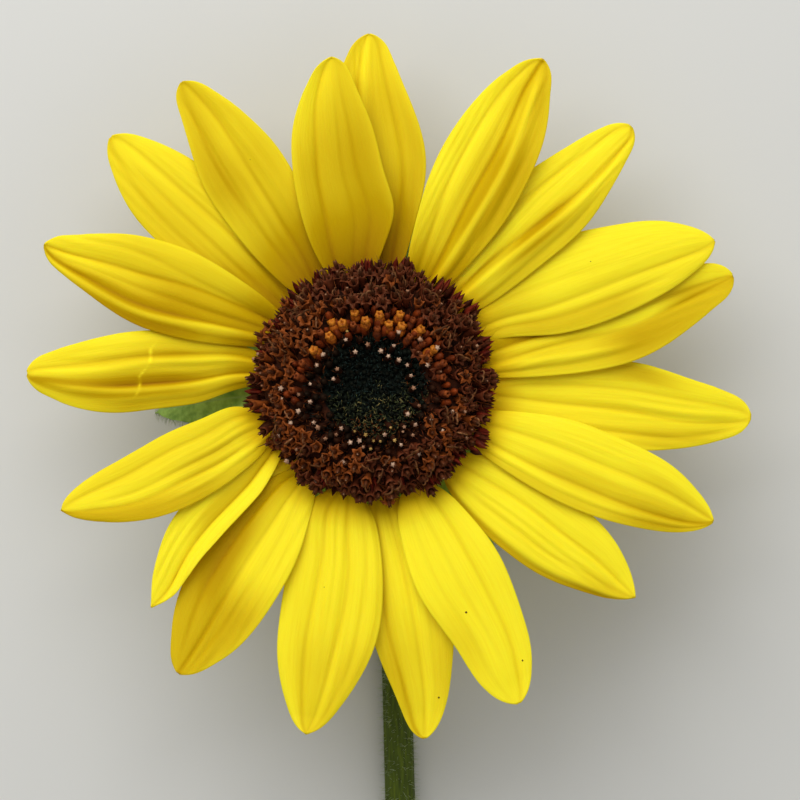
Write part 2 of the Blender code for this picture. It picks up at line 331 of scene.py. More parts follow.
# foot angle, tip angle, reach, width, layer, roll, bow and tip lift of each ray, in
# degrees and millimetres
raySizes = {
    1: (85, 90.3, 60, 15.6, 2, 0, 0, 0.3), 2: (101, 96.7, 54.8, 16.6, 0, 0, 0.2, 2.7),
    3: (120, 122.2, 60, 13.6, 1, -7, -0.3, 1.8), 4: (134, 136, 60.6, 14.8, 2, 0, 0, 0.6),
    5: (148, 156.8, 58.8, 14.2, 0.6, 0, 0.1, 1.5), 6: (171, 178.3, 56.8, 13.2, 1.8, -4, 0, 0.6),
    7: (202, 203.6, 54.8, 12.7, 0, 6, 1.2, 1.8), 8: (209, 226.5, 51.6, 10, 1, 5, 0, 1.2),
    9: (234.5, 237, 57.2, 14.6, 1.3, 9, -0.6, 1.2), 10: (256, 259.9, 58.8, 16.5, 1.1, 5, 0.8, 2.4),
    11: (275, 278.2, 59, 13.7, 2, 0, 1.4, 0.3), 12: (292, 294.5, 58.1, 15.2, 0.6, 0, 0, 2.1),
    13: (314, 320.2, 55.9, 13.8, 1.6, 0, 0.2, 1.5), 14: (338, 337.4, 60.5, 13.6, 0.4, 0, 0, 1.5),
    15: (355, 355, 63.1, 14.6, 3, 0, 0, 0.3), 16: (12, 16.6, 62.9, 13.8, 2, -2, -0.4, 0.6),
    17: (30, 22.4, 61.9, 15.6, 1.3, -3, 1.9, 1.2), 18: (45, 44.9, 61.2, 13.6, 0.5, -4, 0.3, 1.5),
    19: (63, 61.7, 61.4, 14.9, -0.35, -4, 0, 2.1), 20: (226, 232.1, 45.5, 8.9, 2.4, 0, 0, 0),
}
# grooves of each: where it runs at the foot and at the tip, from -1 to 1 across,
# its depth, below nought for a ridge, and the shares of the length it starts and ends at
rayGrooves = {
    1: ((0.36, 0.34, 0.9, 0, 1), (0.14, 0.16, -0.6, 0.5, 1), (-0.52, -0.5, 0.7, 0.1, 1)),
    2: ((0.5, 0.45, 0.9, 0, 0.95), (-0.1, -0.15, 0.4, 0, 0.7), (-0.5, -0.4, 0.4, 0, 0.8)),
    3: ((-0.1, -0.25, 0.8, 0, 1), (0.4, 0.5, 0.6, 0.2, 0.85), (0.15, 0.1, 0.4, 0, 0.5)),
    4: ((0.25, 0.12, 0.6, 0, 0.75), (-0.15, -0.36, 0.8, 0.1, 1), (0.6, 0.5, 0.4, 0.3, 1)),
    5: (
        (-0.4, 0, 1.3, 0, 1), (0.42, 0.62, 1.3, 0, 1), (0.46, 0.92, -0.9, 0, 1),
        (-0.3, -0.75, 0.5, 0.1, 0.6), (0.1, 0.25, 0.7, 0, 0.6),
    ),
    6: (
        (-0.5, -0.25, 0.9, 0, 1), (-0.25, -0.06, -0.9, 0, 1), (0.36, 0.3, 1.3, 0, 0.6),
        (0.52, 0.46, -0.9, 0, 0.8),
    ),
    7: ((-0.65, -0.4, 0.8, 0, 0.9), (0, 0.1, 0.7, 0, 0.7), (0.35, 0.42, 0.9, 0, 1)),
    8: ((0.28, 0.38, 1.5, 0, 1),),
    9: ((0.05, 0, 0.9, 0, 1), (-0.5, -0.45, 0.6, 0, 0.8), (0.4, 0.35, 0.4, 0.1, 0.8)),
    10: ((-0.33, -0.42, 0.9, 0, 1), (0.27, 0.2, 0.9, 0.05, 1), (0.65, 0.6, 0.4, 0.2, 0.9)),
    11: ((-0.5, -0.66, 0.8, 0, 1), (0.05, 0.02, 0.9, 0, 1), (0.5, 0.45, 0.4, 0.3, 0.9)),
    12: ((0.4, 0.4, 1, 0, 0.95), (-0.1, -0.05, 0.45, 0.1, 0.7), (-0.5, -0.5, 0.3, 0.2, 1)),
    13: ((0.25, 0.12, 1, 0, 1), (-0.45, -0.42, 0.5, 0, 0.9), (0.7, 0.6, 0.4, 0, 0.5)),
    14: ((0.28, 0.22, 0.8, 0, 1), (-0.4, -0.5, 1.2, 0, 1), (-0.1, -0.1, 0.3, 0.2, 0.9)),
    15: ((0.1, -0.34, 1, 0, 1), (0.45, 0.32, 0.7, 0.2, 1), (-0.6, -0.66, 0.6, 0.1, 0.9)),
    16: (
        (0.25, 0.12, 0.8, 0, 1), (-0.2, -0.2, 0.8, 0, 0.9), (-0.5, -0.65, -0.8, 0, 0.4),
        (0.1, -0.4, -0.6, 0, 0.25),
    ),
    17: ((-0.3, -0.3, 0.9, 0, 1), (-0.6, -0.6, 0.6, 0, 0.7), (0.2, 0.1, 0.3, 0, 0.5)),
    18: ((0.6, 0.46, 0.8, 0.4, 1), (0.3, -0.6, 1.3, 0, 1), (-0.1, -0.75, -1.2, 0, 0.9)),
    19: (
        (0.5, 0.58, 0.9, 0, 1), (-0.12, 0, 1.6, 0, 1), (0.15, 0.2, 0.5, 0, 0.7),
        (-0.45, -0.38, -1.1, 0, 0.85),
    ),
    20: ((-0.2, -0.2, 0.6, 0, 1), (0.4, 0.3, 0.4, 0, 1)),
}
rayForm = {
    "stepsAlong": 96,
    "stepsAcross": 52,
    "crowding": 1.25,  # of the steps towards the tip
    "thickness": 0.34 * mm,
    "edgeThickness": 0.45,  # of the thickness of the middle
    # radii from the disc's middle where the blades start, lie fully over each other and
    # crest, and how they climb and droop
    "footRadius": 16.0 * mm,
    "fullRadius": 32.0 * mm,
    "crestRadius": 38.0 * mm,
    "climb": 5.0 * mm,
    "droop": 1.5 * mm,
    "topLayer": -0.75 * mm,
    "layerFoot": 0.85 * mm,
    "layerBlade": 1.35 * mm,
    # shares of the length or the width
    "widestAt": 0.52,
    "footShare": 0.36,
    "tipShare": 0.012,
    "taperPower": 0.68,
    "tipFrom": (0.74, 0.96),  # of the taper, over which a tip takes its own bluntness
    "shoulderAt": (0.07, 0.19),  # where a foot rounds out of the disc
    "plainFoot": 0.12,  # how much narrower a plain and a round foot start
    "roundFoot": 0.38,
    "footBendAt": 0.16,  # where a foot swings aside, and how far to each side of it
    "footBendReach": 0.13,
    "bendsAt": (0.45, 0.62, 0.76, 0.88, 0.95, 1.0),
    "bendEasing": (-0.09, -0.045, 0, 0.045, 0.09),  # shares that each bend is averaged over
    "fullRelief": 3.5 * mm,  # half width from which the relief has its full height
    "groove": 0.80 * mm,
    "grooveFloor": 0.13 * mm,
    "grooveReach": 1.3 * mm,  # over which the lobe beside a groove rises
    "grooveShade": 0.32 * mm,
    "ridgeLight": 0.45 * mm,  # how far the shade of a groove and the light of a ridge reach
    "hemStart": 0.14,  # over which an edge turns down, of the half width
    "patchFade": 0.12,
    "ripples": 3,
    "ripple": 0.09 * mm,
    "rippleApart": 1.5 * mm,
    "smoothRipple": 0.35,  # of the height elsewhere, on the smooth rays
    "edgeWave": 0.18 * mm,
    "creasedRay": 6,
    "creaseAt": 0.525,
    "crease": 0.10 * mm,
    "creaseWidth": 0.20 * mm,
    "creasedLength": 41 * mm,
}
# foot and low are the tissue's orange where it meets the disc; foot is also the brown, and deep the
# gold, of the painted shade laid over the rays
rayColours = {
    "foot": "#8a4a04",
    "low": "#f0bc04",
    "blade": "#ffe928",
    "streak": "#f0c80c",
    "deep": "#c29e00",
    "scar": "#fff3a0",
}
# how far the long edges of each stand over its middle in millimetres, how deep
# its painted shade is, and how much deeper that painted shade is on its clockwise side, or on the
# other if below nought
rayLooks = {
    1: (0.2, 0.9, -0.2), 2: (0.4, 0.75, 0.18), 3: (-0.2, 0.5, 0.1), 4: (-0.6, 0.38, -0.2),
    5: (-0.6, 0.48, -0.1), 6: (-0.5, 0.5, -0.1), 7: (-0.6, 0.08, 0.2), 8: (0.1, 0, 0),
    9: (-0.3, 0.12, 0.7), 10: (-0.6, 0.12, 0), 11: (-0.4, 0.28, 0.2), 12: (-0.5, 0.04, 0),
    13: (-0.6, 0.04, 0.05), 14: (-0.5, 0.02, 0), 15: (-0.5, 0.12, 0), 16: (0.1, 0.4, -0.45),
    17: (-0.7, 0.02, 0.1), 18: (-0.4, 0.12, 0.22), 19: (0.1, 0.42, 0.3), 20: (-0.3, 0.1, 0),
}
# power that each tip draws in by, less for a blunt one
tipPowers = {
    1: 0.57, 2: 0.6, 3: 0.58, 4: 0.62, 5: 0.58, 6: 0.56, 7: 0.66, 8: 0.8, 9: 0.6, 10: 0.63,
    11: 0.62, 12: 0.64, 13: 0.7, 14: 0.66, 15: 0.56, 16: 0.54, 17: 0.64, 18: 0.58, 19: 0.58,
    20: 0.68,
}
# long edges that turn down: the side, where across it starts, how far it drops in
# millimetres, how much painted shade deepens its colour there and the share of the length it ends at
rayHems = {
    5: (1, 0.7, 0.3, 0.3, 0.9), 6: (1, 0.68, 0.3, 0.25, 0.8), 7: (1, 0.6, 0.3, 0.42, 0.65),
    9: (-1, 0.4, 0.4, 0.15, 0.75), 10: (1, 0.8, 0.3, 0.2, 0.9), 13: (-1, 0.76, 0.6, 0.75, 1.1),
    14: (-1, 0.66, 0.4, 0.4, 1.1), 16: (-1, 0.62, 0.5, 0, 0.7), 17: (-1, 0.5, 0, 0.25, 0.35),
    18: (-1, 0.62, 0.6, 0.15, 0.8), 19: (-1, 0.58, 0.4, 0.2, 0.8),
}
# patches of painted shade that deepen the colour of each, or of painted light that takes
# some painted shade away if below nought: place across, how far to each side, the shares of the length
# it starts and ends at, and how much
shadePatches = {
    1: ((-0.35, 0.4, 0.42, 0.68, -0.3), (0.35, 0.3, 0.72, 1.2, -0.3)),
    2: ((0.7, 0.3, 0.6, 1.2, -0.2),),
    3: ((0.6, 0.5, 0.45, 1.2, 0.35), (-0.2, 0.6, 0.8, 1.2, 0.25)),
    5: ((0.75, 0.4, 0.35, 1.2, 0.6), (0.1, 0.35, 0.2, 0.55, 0.4)),
    6: ((0.38, 0.27, 0.33, 1.2, 0.8), (-0.35, 0.2, 0.33, 0.5, 0.35), (-0.75, 0.25, 0.5, 0.8, -0.3)),
    7: ((0.7, 0.4, 0.35, 0.55, 0.3), (0.8, 0.4, 0.55, 1.2, 0.8), (0.1, 0.3, 0.22, 0.48, 0.35)),
    8: ((0.05, 0.3, 0.1, 0.6, 0.55),),
    9: ((0.4, 0.65, 0.6, 1.2, 0.75), (-0.4, 0.3, 0.36, 0.66, 0.4)),
    10: ((0.7, 0.35, 0.65, 1.2, 0.35), (-0.2, 0.45, 0.65, 1.2, 0.3)),
    11: ((0, 0.45, 0, 0.6, -0.3), (0.8, 0.3, 0.65, 0.9, 0.3), (-0.8, 0.3, 0.65, 1.2, 0.3)),
    12: ((-0.7, 0.3, 0.6, 0.82, 0.3),),
    13: ((-0.6, 0.45, 0.8, 1.2, 0.4),),
    14: ((-0.35, 0.3, 0.33, 0.7, 0.35), (-0.5, 0.45, 0.7, 1.2, 0.6), (0.35, 0.25, 0.7, 1.2, 0.3)),
    15: ((-0.7, 0.3, 0.6, 0.9, 0.4), (0.75, 0.2, 0.5, 0.72, 0.6)),
    16: (
        (-0.6, 0.5, 0.5, 1.2, 0.55), (0.35, 0.2, 0.2, 0.6, 0.6), (0.6, 0.6, 0.82, 1.2, -0.6),
        (0, 0.25, 0.48, 0.72, -0.9), (0.02, 0.22, 0.74, 1.2, 0.5),
    ),
    17: ((-0.75, 0.25, 0.2, 0.68, 0.5), (0.2, 0.6, 0.1, 0.3, 0.4)),
    18: ((-0.35, 0.25, 0.33, 0.6, 0.9), (0.35, 0.2, 0.2, 0.4, -0.8), (0, 0.2, 0.05, 0.3, 0.6)),
    19: ((-0.35, 0.3, 0.22, 0.68, 0.4), (0.65, 0.4, 0.33, 0.78, -0.35), (-0.3, 0.6, 0.8, 1.2, 0.4)),
    20: ((0.3, 0.5, 0.55, 1.2, 0.7),),
}
smoothRays = (2, 12, 14, 17)
roundFeet = (7, 8, 9, 10, 11, 12, 13)
# how far the foot of each swings aside and widens, in millimetres, and the share of
# its length that does so most
rayFeet = {
    2: (-0.75, 0.75, 0.32), 3: (-0.4, 0.3, 0.16), 6: (-0.8, -0.5, 0.16), 7: (-0.9, 0.6, 0.16),
    8: (-0.4, -0.4, 0.16), 9: (-0.3, -0.3, 0.16), 10: (-0.8, 0.8, 0.16), 17: (0.7, -0.7, 0.16),
    20: (0, 0.5, 0.16),
}
# how brown the painted shade of each is where it leaves the disc and the share of its length that this
# reaches
shadedFeet = {
    1: (0.9, 0.4), 2: (0.8, 0.46), 3: (1.1, 0.46), 4: (1, 0.45), 5: (0.8, 0.32), 6: (0.5, 0.28),
    11: (0.5, 0.13), 15: (0.1, 0.12), 16: (0.2, 0.14), 17: (0.1, 0.12), 18: (0.4, 0.18),
    19: (0.55, 0.28), 20: (0.1, 0.2),
}
# how far each swings aside and how much wider each side is, in millimetres, at
# the shares of its length in rayForm["bendsAt"]
rayBends = {
    1: ((-0.5, -0.1, 0.4, 0.4, 0.1, 0), (0.5, 0.1, -0.4, -0.4, 0.1, 0.1)),
    2: ((0.75, 0.75, 1.1, 1, 0.55, 0), (-0.9, -1.15, -0.9, -1.2, -0.35, 0.1)),
    3: ((-0.3, -0.3, -0.4, -0.7, -0.3, -0.1), (0.3, 0.3, -0.6, 0, -0.1, 0.1)),
    4: ((0.1, 0.45, 0.5, 0.3, 0.1, 0.1), (0.1, 0.25, 0, 0.2, 0.3, 0.3)),
    5: ((0.3, 0.3, -0.3, 0.5, 0.5, 0.1), (0.3, 0.3, -0.3, -0.6, -0.1, 0.1)),
    6: ((-0.2, 0.3, 0.8, 0.6, 0.2, 0), (-0.1, 0.2, 0.1, 0.4, 0.7, 0.2)),
    7: ((-0.2, 0.4, 0.4, -0.1, -0.4, -0.2), (0.2, -0.4, -0.4, -0.1, -0.2, 0)),
    8: ((-1.6, -2.1, -1.6, -0.6, 0.1, 0), (-1, -0.9, -1, -0.4, -0.2, 0)),
    9: ((0.1, 0.3, 0.3, 0.4, 0.2, 0), (0.1, 0.3, 0.5, 0.3, 0.2, 0)),
    10: ((0, 0, 0, 0, -0.1, 0), (0, 0, -0.1, -0.4, -0.2, 0)),
    11: ((0, 0, 0.4, 0.8, 0.6, 0.2), (0, 0, -0.8, -0.2, 0.2, 0.2)),
    12: ((0.1, 0.65, 0.8, 0, -0.3, -0.1), (-0.1, -1.05, -0.8, 0.4, 0.5, 0.1)),
    13: ((0.1, 0, 0.7, 0.4, 0.1, 0.1), (-0.1, 0, -0.3, -0.5, -0.4, 0)),
    14: ((0, -0.1, 0.2, 0.05, -0.2, -0.1), (0, 0.1, 0.2, 0.35, 0.2, 0.1)),
    15: ((0.1, 0.2, -0.5, 0.1, 0.5, 0.2), (0.1, 0.2, -0.3, 0.3, 0.7, 0.3)),
    16: ((-0.4, -0.8, -0.2, 0.1, 0.5, 0.3), (0.4, 0.8, 0.2, 0.1, 0.6, 0.3)),
    17: ((-0.4, -0.4, 0.1, 0.3, 0.6, 0.3), (0.4, -0.2, 0.1, 0.3, 0.2, 0)),
    18: ((0, -0.2, -0.4, -0.2, 0.1, 0), (0, 0.2, -0.5, -0.2, 0.3, 0.3)),
    19: ((0.3, 0.2, 0.5, 0.9, 0.9, 0.3), (0.3, 0.2, 0.1, 0.2, 0.2, 0.1)),
}
# specks of dust and pollen that lie on the rays: the ray, share of its length, place
# across and size of each in millimetres
raySpecks = (
    (11, 0.86, 0.62, 0.2), (12, 0.6, -0.3, 0.22), (12, 0.86, 0.66, 0.19), (17, 0.55, 0.3, 0.1),
    (10, 0.44, -0.2, 0.1), (3, 0.6, -0.3, 0.1),
)


def rayTissue():
    # A live ray: thin, satin, its cells drawn out along it, orange where it meets the disc, with
    # painted shade and light laid over it by its tone
    material = newMaterial(
        "rayTissue",
        rayColours["blade"],
        0.6,
        0.05,
        Subsurface_Weight=0.25,
        Subsurface_Radius=(1.0, 0.7, 0.05),
        Subsurface_Scale=0.8 * mm,
    )
    place = addNode(material, "UVMap", {"uv_map": "blade"}).outputs["UV"]
    along = addNode(material, "SeparateXYZ", links={"Vector": place}).outputs["X"]
    stops = [(at, rayColours[name]) for at, name in ((0.02, "foot"), (0.055, "low"), (0.17, "blade"))]
    colour = addNode(material, "ValToRGB", {"stops": stops}, {"Fac": along}).outputs["Color"]
    # streaks about 0.4 mm apart and several millimetres long
    drawn = addNode(material, "Mapping", {"Scale": (5, 34, 1)}, {"Vector": place}).outputs["Vector"]
    grain = {"Scale": 1.0, "Detail": 3.0, "Roughness": 0.6}
    streaks = addNode(material, "TexNoise", grain, {"Vector": drawn}).outputs["Fac"]
    tone = addNode(material, "Attribute", {"attribute_name": "tone"}).outputs["Fac"]
    # each colour over those before it: what it follows, from where to where, and its most
    layers = (
        ("streak", streaks, 0.45, 0.75, 0.32),
        # deep gold and then brown are painted shade where the tone rises; the pale scar shows where it
        # falls below nought
        ("deep", tone, 0.0, 1.0, 1.0),
        ("foot", tone, 1.0, 2.0, 0.8),
        ("scar", tone, 0.0, -0.5, 0.45),
    )
    for name, source, low, high, most in layers:
        limits = {"From Min": low, "From Max": high, "To Max": most}
        share = addNode(material, "MapRange", limits, {"Value": source}).outputs["Result"]
        over = {"data_type": "RGBA", 7: hexColour(rayColours[name])}
        colour = addNode(material, "Mix", over, {0: share, 6: colour}).outputs[2]
    return dress(material, colour, streaks, depth=0.10 * mm)


def rayHalfWidth(number, share, width):
    form = rayForm
    widest, power = form["widestAt"], form["taperPower"]
    grown = np.sin(np.pi / 2 * np.minimum(share / widest, 1))
    whole = form["footShare"] + (1 - form["footShare"]) * grown
    low, high = form["shoulderAt"]
    shoulder = np.clip((share - low) / (high - low), 0, 1)
    narrower = form["roundFoot" if number in roundFeet else "plainFoot"]
    whole *= 1 - narrower * (1 - np.sqrt(1 - (1 - shoulder) ** 2))
    taper = np.clip((share - widest) / (1 - widest), 0, 1)
    power = power + (tipPowers[number] - power) * smoothStep(*form["tipFrom"], taper)
    narrowed = np.maximum((1 - taper**2.1) ** power, form["tipShare"])
    return width / 2 * np.where(share < widest, whole, narrowed)


def rayHeight(radius):
    form = rayForm
    out = (radius - form["footRadius"]) / (form["crestRadius"] - form["footRadius"])
    climbed = form["climb"] * np.sin(np.pi / 2 * np.minimum(out, 1))
    return climbed - form["droop"] * np.maximum(out - 1, 0) ** 2


def rayRelief(number, share, across, half, chance):
    # Grooves with pillowed lobes between them, long edges that hang or stand, and how
    # deep the painted shade of the colour is, with painted light where it lessens
    form = rayForm
    edges, depth, shadedSide = rayLooks[number]
    room = np.minimum(half / form["fullRelief"], 1)
    height = edges * mm * np.abs(across) ** 2.4 * room
    shade, ridge = np.zeros_like(share), np.zeros_like(share)
    # painted shade over the blade, less towards the tip and the long edges, and more on one side
    deep = depth * (1 - 0.6 * smoothStep(0.55, 0.95, share)) * (1 - 0.5 * np.abs(across) ** 6)
    deep += abs(shadedSide) * smoothStep(-0.15, 0.5, -across * math.copysign(1, shadedSide))
    for atFoot, atTip, cut, start, end in rayGrooves[number]:
        place = atFoot + (atTip - atFoot) * share
        place = place + 0.02 * np.sin(share * chance.uniform(7, 13) + chance.uniform(0, 6))
        aside = np.hypot((across - place) * half, form["grooveFloor"]) - form["grooveFloor"]
        strength = cut * smoothStep(start - 0.14, start + 0.02, share)
        strength = strength * (1 - smoothStep(end - 0.02, end + 0.2, share))
        height -= form["groove"] * strength * room * np.exp(-aside / form["grooveReach"])
        shade = np.maximum(shade, strength * np.exp(-((aside / form["grooveShade"]) ** 2)))
        ridge = np.maximum(ridge, -strength * np.exp(-((aside / form["ridgeLight"]) ** 2)))
    if number in rayHems:
        side, start, drop, tone, end = rayHems[number]
        hem = smoothStep(start, start + form["hemStart"], side * across)
        hem = hem * smoothStep(0.03, 0.1, share) * (1 - smoothStep(end - 0.25, end, share))
        height -= drop * mm * room * hem
        # painted shade on the turned-down edge
        deep += tone * hem
    fade = form["patchFade"]
    # patches of painted shade, or of painted light where below nought
    for middle, wide, start, end, tone in shadePatches.get(number, ()):
        patch = np.exp(-(((across - middle) / wide) ** 4))
        patch = patch * smoothStep(start - fade, start + fade, share)
        deep += tone * patch * (1 - smoothStep(end - fade, end + fade, share))
    # fine ripples in a few patches, each over some of the width and length
    for _ in range(form["ripples"]):
        apart = form["rippleApart"] * chance.uniform(0.7, 1.3)
        ripple = 2 * np.pi * across * half / apart + chance.uniform(-8, 8) * share
        patch = ((across - chance.uniform(-0.8, 0.8)) / 0.35) ** 2
        patch = np.exp(-patch - ((share - chance.uniform(0.2, 0.9)) / 0.28) ** 2)
        ripple = np.sin(ripple + chance.uniform(0, 6)) * patch * room
        height += form["ripple"] * (form["smoothRipple"] if number in smoothRays else 1) * ripple
    wave = np.sin(share * chance.uniform(10, 16) + chance.uniform(0, 6))
    height += form["edgeWave"] * wave * np.abs(across) ** 4 * smoothStep(0.2, 0.6, share)
    # painted shade, brown, where the ray leaves the disc
    footShade, reach = shadedFeet.get(number, (0, 1))
    deep += footShade * (1 - smoothStep(0.04, reach, share))
    # painted light on the ridges and painted shade in the grooves
    deep = np.clip(deep * (1 - 0.55 * np.minimum(ridge, 1)) + 0.30 * shade, 0, 2)
    if number == form["creasedRay"]:
        # an old crease healed pale, that runs across the blade
        place = form["creaseAt"] + 0.07 * across + 0.010 * np.sin(9 * across)
        line = np.exp(-(((share - place) * form["creasedLength"] / form["creaseWidth"]) ** 2))
        line *= smoothStep(-0.75, -0.6, across) * (1 - smoothStep(0.5, 0.7, across))
        height += form["crease"] * line
        deep -= (deep + 0.06) * line * (0.65 + 0.35 * np.sin(23 * across))
    return height, deep


def rayPoints(number, share, across):
    # Where each point of a ray's middle sheet lies in the bloom, and how deep the painted shade of its
    # colour is
    form = rayForm
    chance = random.Random(f"ray_{number:02d}")
    footAngle, tipAngle, reach, width, layer, roll, bow, lift = raySizes[number]
    footAngle, tipAngle, roll = (math.radians(a) for a in (footAngle, tipAngle, roll))
    foot = form["footRadius"] * np.array((math.cos(footAngle), math.sin(footAngle), 0))
    tip = reach * mm * np.array((math.cos(tipAngle), math.sin(tipAngle), 0))
    ahead = (tip - foot) / np.linalg.norm(tip - foot)
    side = np.array((-ahead[1], ahead[0], 0))
    half = rayHalfWidth(number, share, width * mm)
    # the two edges run a little unevenly
    left, right = (
        chance.uniform(0.008, 0.02) * np.sin(share * chance.uniform(9, 15) + chance.uniform(0, 6))
        for _ in range(2)
    )
    offset = across * half * (1 + np.where(across > 0, left, right) * np.abs(across))
    aside, wider, where = rayFeet.get(number, (0, 0, form["footBendAt"]))
    atFoot = np.exp(-(((share - where) / form["footBendReach"]) ** 2)) * mm
    offset = offset + (aside + wider * across) * atFoot
    stops = (0.2, *form["bendsAt"])
    for values, weight in zip(rayBends.get(number, ()), (1, across)):
        near = [np.interp(share + ease, stops, (0, *values)) for ease in form["bendEasing"]]
        offset = offset + np.mean(near, axis=0) * mm * weight
    middle = foot + np.outer(share, tip - foot)
    points = middle + np.outer(offset + bow * mm * np.sin(np.pi * share), side)
    radius = np.linalg.norm(points, axis=1)
    spread = smoothStep(form["footRadius"], form["fullRadius"], radius)
    step = form["layerFoot"] + (form["layerBlade"] - form["layerFoot"]) * spread
    height = form["topLayer"] - layer * step + rayHeight(radius)
    height += lift * mm * smoothStep(0.35, 1.3, share)
    height += across * half * math.tan(roll) * spread
    relief, deep = rayRelief(number, share, across, half, chance)
    points[:, 2] = height + relief
    return points, deep


def thinEdges(piece, across):
    group = piece.vertex_groups.new(name="full")
    for place in np.unique(np.round(across, 4)):
        column = np.flatnonzero(np.abs(across - place) < 1e-3)
        group.add(column.tolist(), float(1 - smoothStep(0.86, 1.0, abs(place))), "REPLACE")


def buildRays():
    material = rayTissue()
    for number in raySizes:
        piece, share, across = gridPiece(
            f"petal_{number:02d}", rayForm["stepsAlong"], rayForm["stepsAcross"], material
        )
        points, deep = rayPoints(number, 1 - (1 - share) ** rayForm["crowding"], across)
        setPoints(piece, inWorld(points))
        thinEdges(piece, across)
        # the tone carries each ray's painted shade and light, and its pale scar
        tone = piece.data.attributes.new("tone", "FLOAT", "POINT")
        tone.data.foreach_set("value", deep)
        thicken(piece, rayForm["thickness"], rayForm["edgeThickness"])
        onPlant(piece, "ray_yellow", f"ray_{number:02d}")


def buildSpecks():
    # A crumb of eight sides, laid half as high as it is wide
    rings = (((0.6, -0.4),), ((1.0, 0.0), (0.7, 0.1)), ((0.5, 0.6), (0.7, 0.5)), ((0.1, 0.8),))
    crumb, faces = ringForm(rings, 8)
    lift = np.array((0, 0, rayForm["thickness"] / 2))
    forms = []
    for number, share, across, size in raySpecks:
        place, _ = rayPoints(number, np.array((share,)), np.array((across,)))
        forms.append((crumb * size * mm * (1, 1, 0.5) + place + lift, faces))
    points, faces = joinForms(forms)
    dust = newMaterial("dryDust", "#5a3a0c", 0.9, 0.1)
    onPlant(meshPiece("raySpecks", inWorld(points), faces, dust), "floret_maroon")


buildRays()
buildSpecks()
print("rays built")

disc = {
    "bedRadius": 17.6 * mm,
    # radius and height of the bed's underside, from its middle out to its rim
    "bedUnderside": ((0.4 * mm, 0.1 * mm), (14.9 * mm, 0.1 * mm), (17.6 * mm, 0.7 * mm)),
    "bedSteps": 36,
    "bedSides": 96,
    "eyeBedSteps": 19,  # of the steps inwards, those before the eye's own tissue
    "crestRadius": 13.5 * mm,
    "crestHeight": 3.6 * mm,
    "innerDip": 0.3 * mm,
    "outerFall": 2.0 * mm,
    "eyeMiddle": 2.3 * mm,
    "eyeEdge": 3.4 * mm,
    "bedUnderTop": 1.0 * mm,
    "floretSpacing": 0.90 * mm,  # radius of the n-th floret is this times the root of n
    "floretReach": 17.9 * mm,
    "styleReach": 16.2 * mm,
    "budSpacing": 0.58 * mm,
    "innerLean": 20,  # degrees that the florets lean out by, over the middle and the rim
    "outerLean": 26,
    "unevenLean": 13,
    "headHeight": 2.9 * mm,  # of an amber head and of a pale point, along its floret
    "pointHeight": 2.4 * mm,
    # ovals that the closed buds and the ring of pale points follow: middle and half axes
    "budOval": (0.9 * mm, -1.1 * mm, 7.3 * mm, 7.6 * mm),
    "pointOval": (-1.0 * mm, -2.0 * mm, 10.6 * mm, 8.9 * mm),
    # shares of these ovals: the buds end and the florets start, black ones turn brown, and
    # open ones start on the stem's side and on the other
    "budsWithin": 1.12,
    "floretsBeyond": 1.08,
    "blackWithin": 0.95,
    "openBeyond": (1.12, 1.02),
    "clearOfHead": 0.75 * mm,  # no floret stands nearer to an amber head
    "shutNearHead": 1.6 * mm,
    # bearing of each ragged tuft of the rim and how far out it reaches
    "tufts": (
        (3, 20.6), (19, 21.6), (39, 22.6), (52, 22.0), (75, 21.8), (92, 20.8), (103, 20.6),
        (114, 21.2), (128, 21.4), (142, 20.0), (162, 20.2), (188, 21.4), (216, 19.4),
        (246, 19.4), (267, 19.6), (284, 19.4), (307, 21.6), (318, 20.6), (330, 22.7), (350, 21.5),
    ),
    "scalesPerTuft": 12,
    "flatScales": 260,
    "glint": "#ffc890",
    # heads of the florets about to open, on the side away from the stem: place across and
    # up in millimetres, and their tissue
    "heads": (
        (-2.7, 11.1, "amber"), (-4.7, 9.3, "amber"), (-0.9, 9.7, "amber"), (1.4, 10.7, "amber"),
        (3, 9.3, "amber"), (5.2, 9, "amber"), (4.9, 10.9, "amber"), (8.4, 8.4, "amber"),
        (-6.9, 7.1, "amber"), (-9.5, 4.8, "amber"), (10.6, 5.1, "amber"), (6.5, 7.2, "rust"),
        (8.6, 6, "rust"), (-6.5, 9.7, "amber"), (1.1, 8.6, "rust"), (-2.9, 9, "rust"),
        (-8.4, 7.8, "rust"), (-11.4, 2.6, "rust"), (-12.2, 0.4, "rust"), (12.1, 2.6, "rust"),
        (12.6, -2.6, "rust"), (12, 0.2, "rust"), (-13, -2, "rust"), (7, 10, "rust"),
    ),
    # the pale and the golden tips of the next florets, round the eye
    "palePoints": (
        (4.6, 7.8), (-4.1, 6.5), (8.1, 6.5), (-0.5, 5.8), (3.8, 5.6), (10.9, 5.2), (1.7, 4.7),
        (-2.5, 4.5), (4.6, 3.2), (6, 2.3), (9.3, 2.3), (-8.8, 2.2), (-5.5, 1.6), (-6.1, 0),
        (-9.9, -0.9), (-14.7, -1.6), (-11.8, -2.6), (-14.6, -3.2), (-9.9, -3.9), (7.9, -4.5),
        (-11.8, -5.4), (6.1, -5.8), (9.9, -6.8), (-13.1, -7.3), (-9.3, -7.3), (7.3, -7.6),
        (-8.6, -8.1), (-4.8, -8.3), (11.8, -8.6), (-15.1, -9.3), (2.3, -9.3), (-7.4, -9.9),
        (-1.8, -10.3), (-3.3, -10.6), (5, -10.9), (7.8, -12.5), (-13.7, -13.4), (-4.5, -13.8),
        (3.6, -14.2), (-9.1, -16.8), (6.6, 0.6), (7, -1.6), (-7.8, 4), (2.9, 3.8), (13.4, -5.4),
    ),
    "goldPoints": (
        (3.3, -8.1), (5.5, -8.1), (5.3, -8.8), (-0.8, -9.4), (0.5, -10.4), (0, -11.6), (-3.9, 7.9),
        (-2.6, -8.8), (1.6, -10.4), (3.9, -10.2), (-1.2, -11.4), (-5.6, -9.3), (6.9, -9.4),
    ),
}
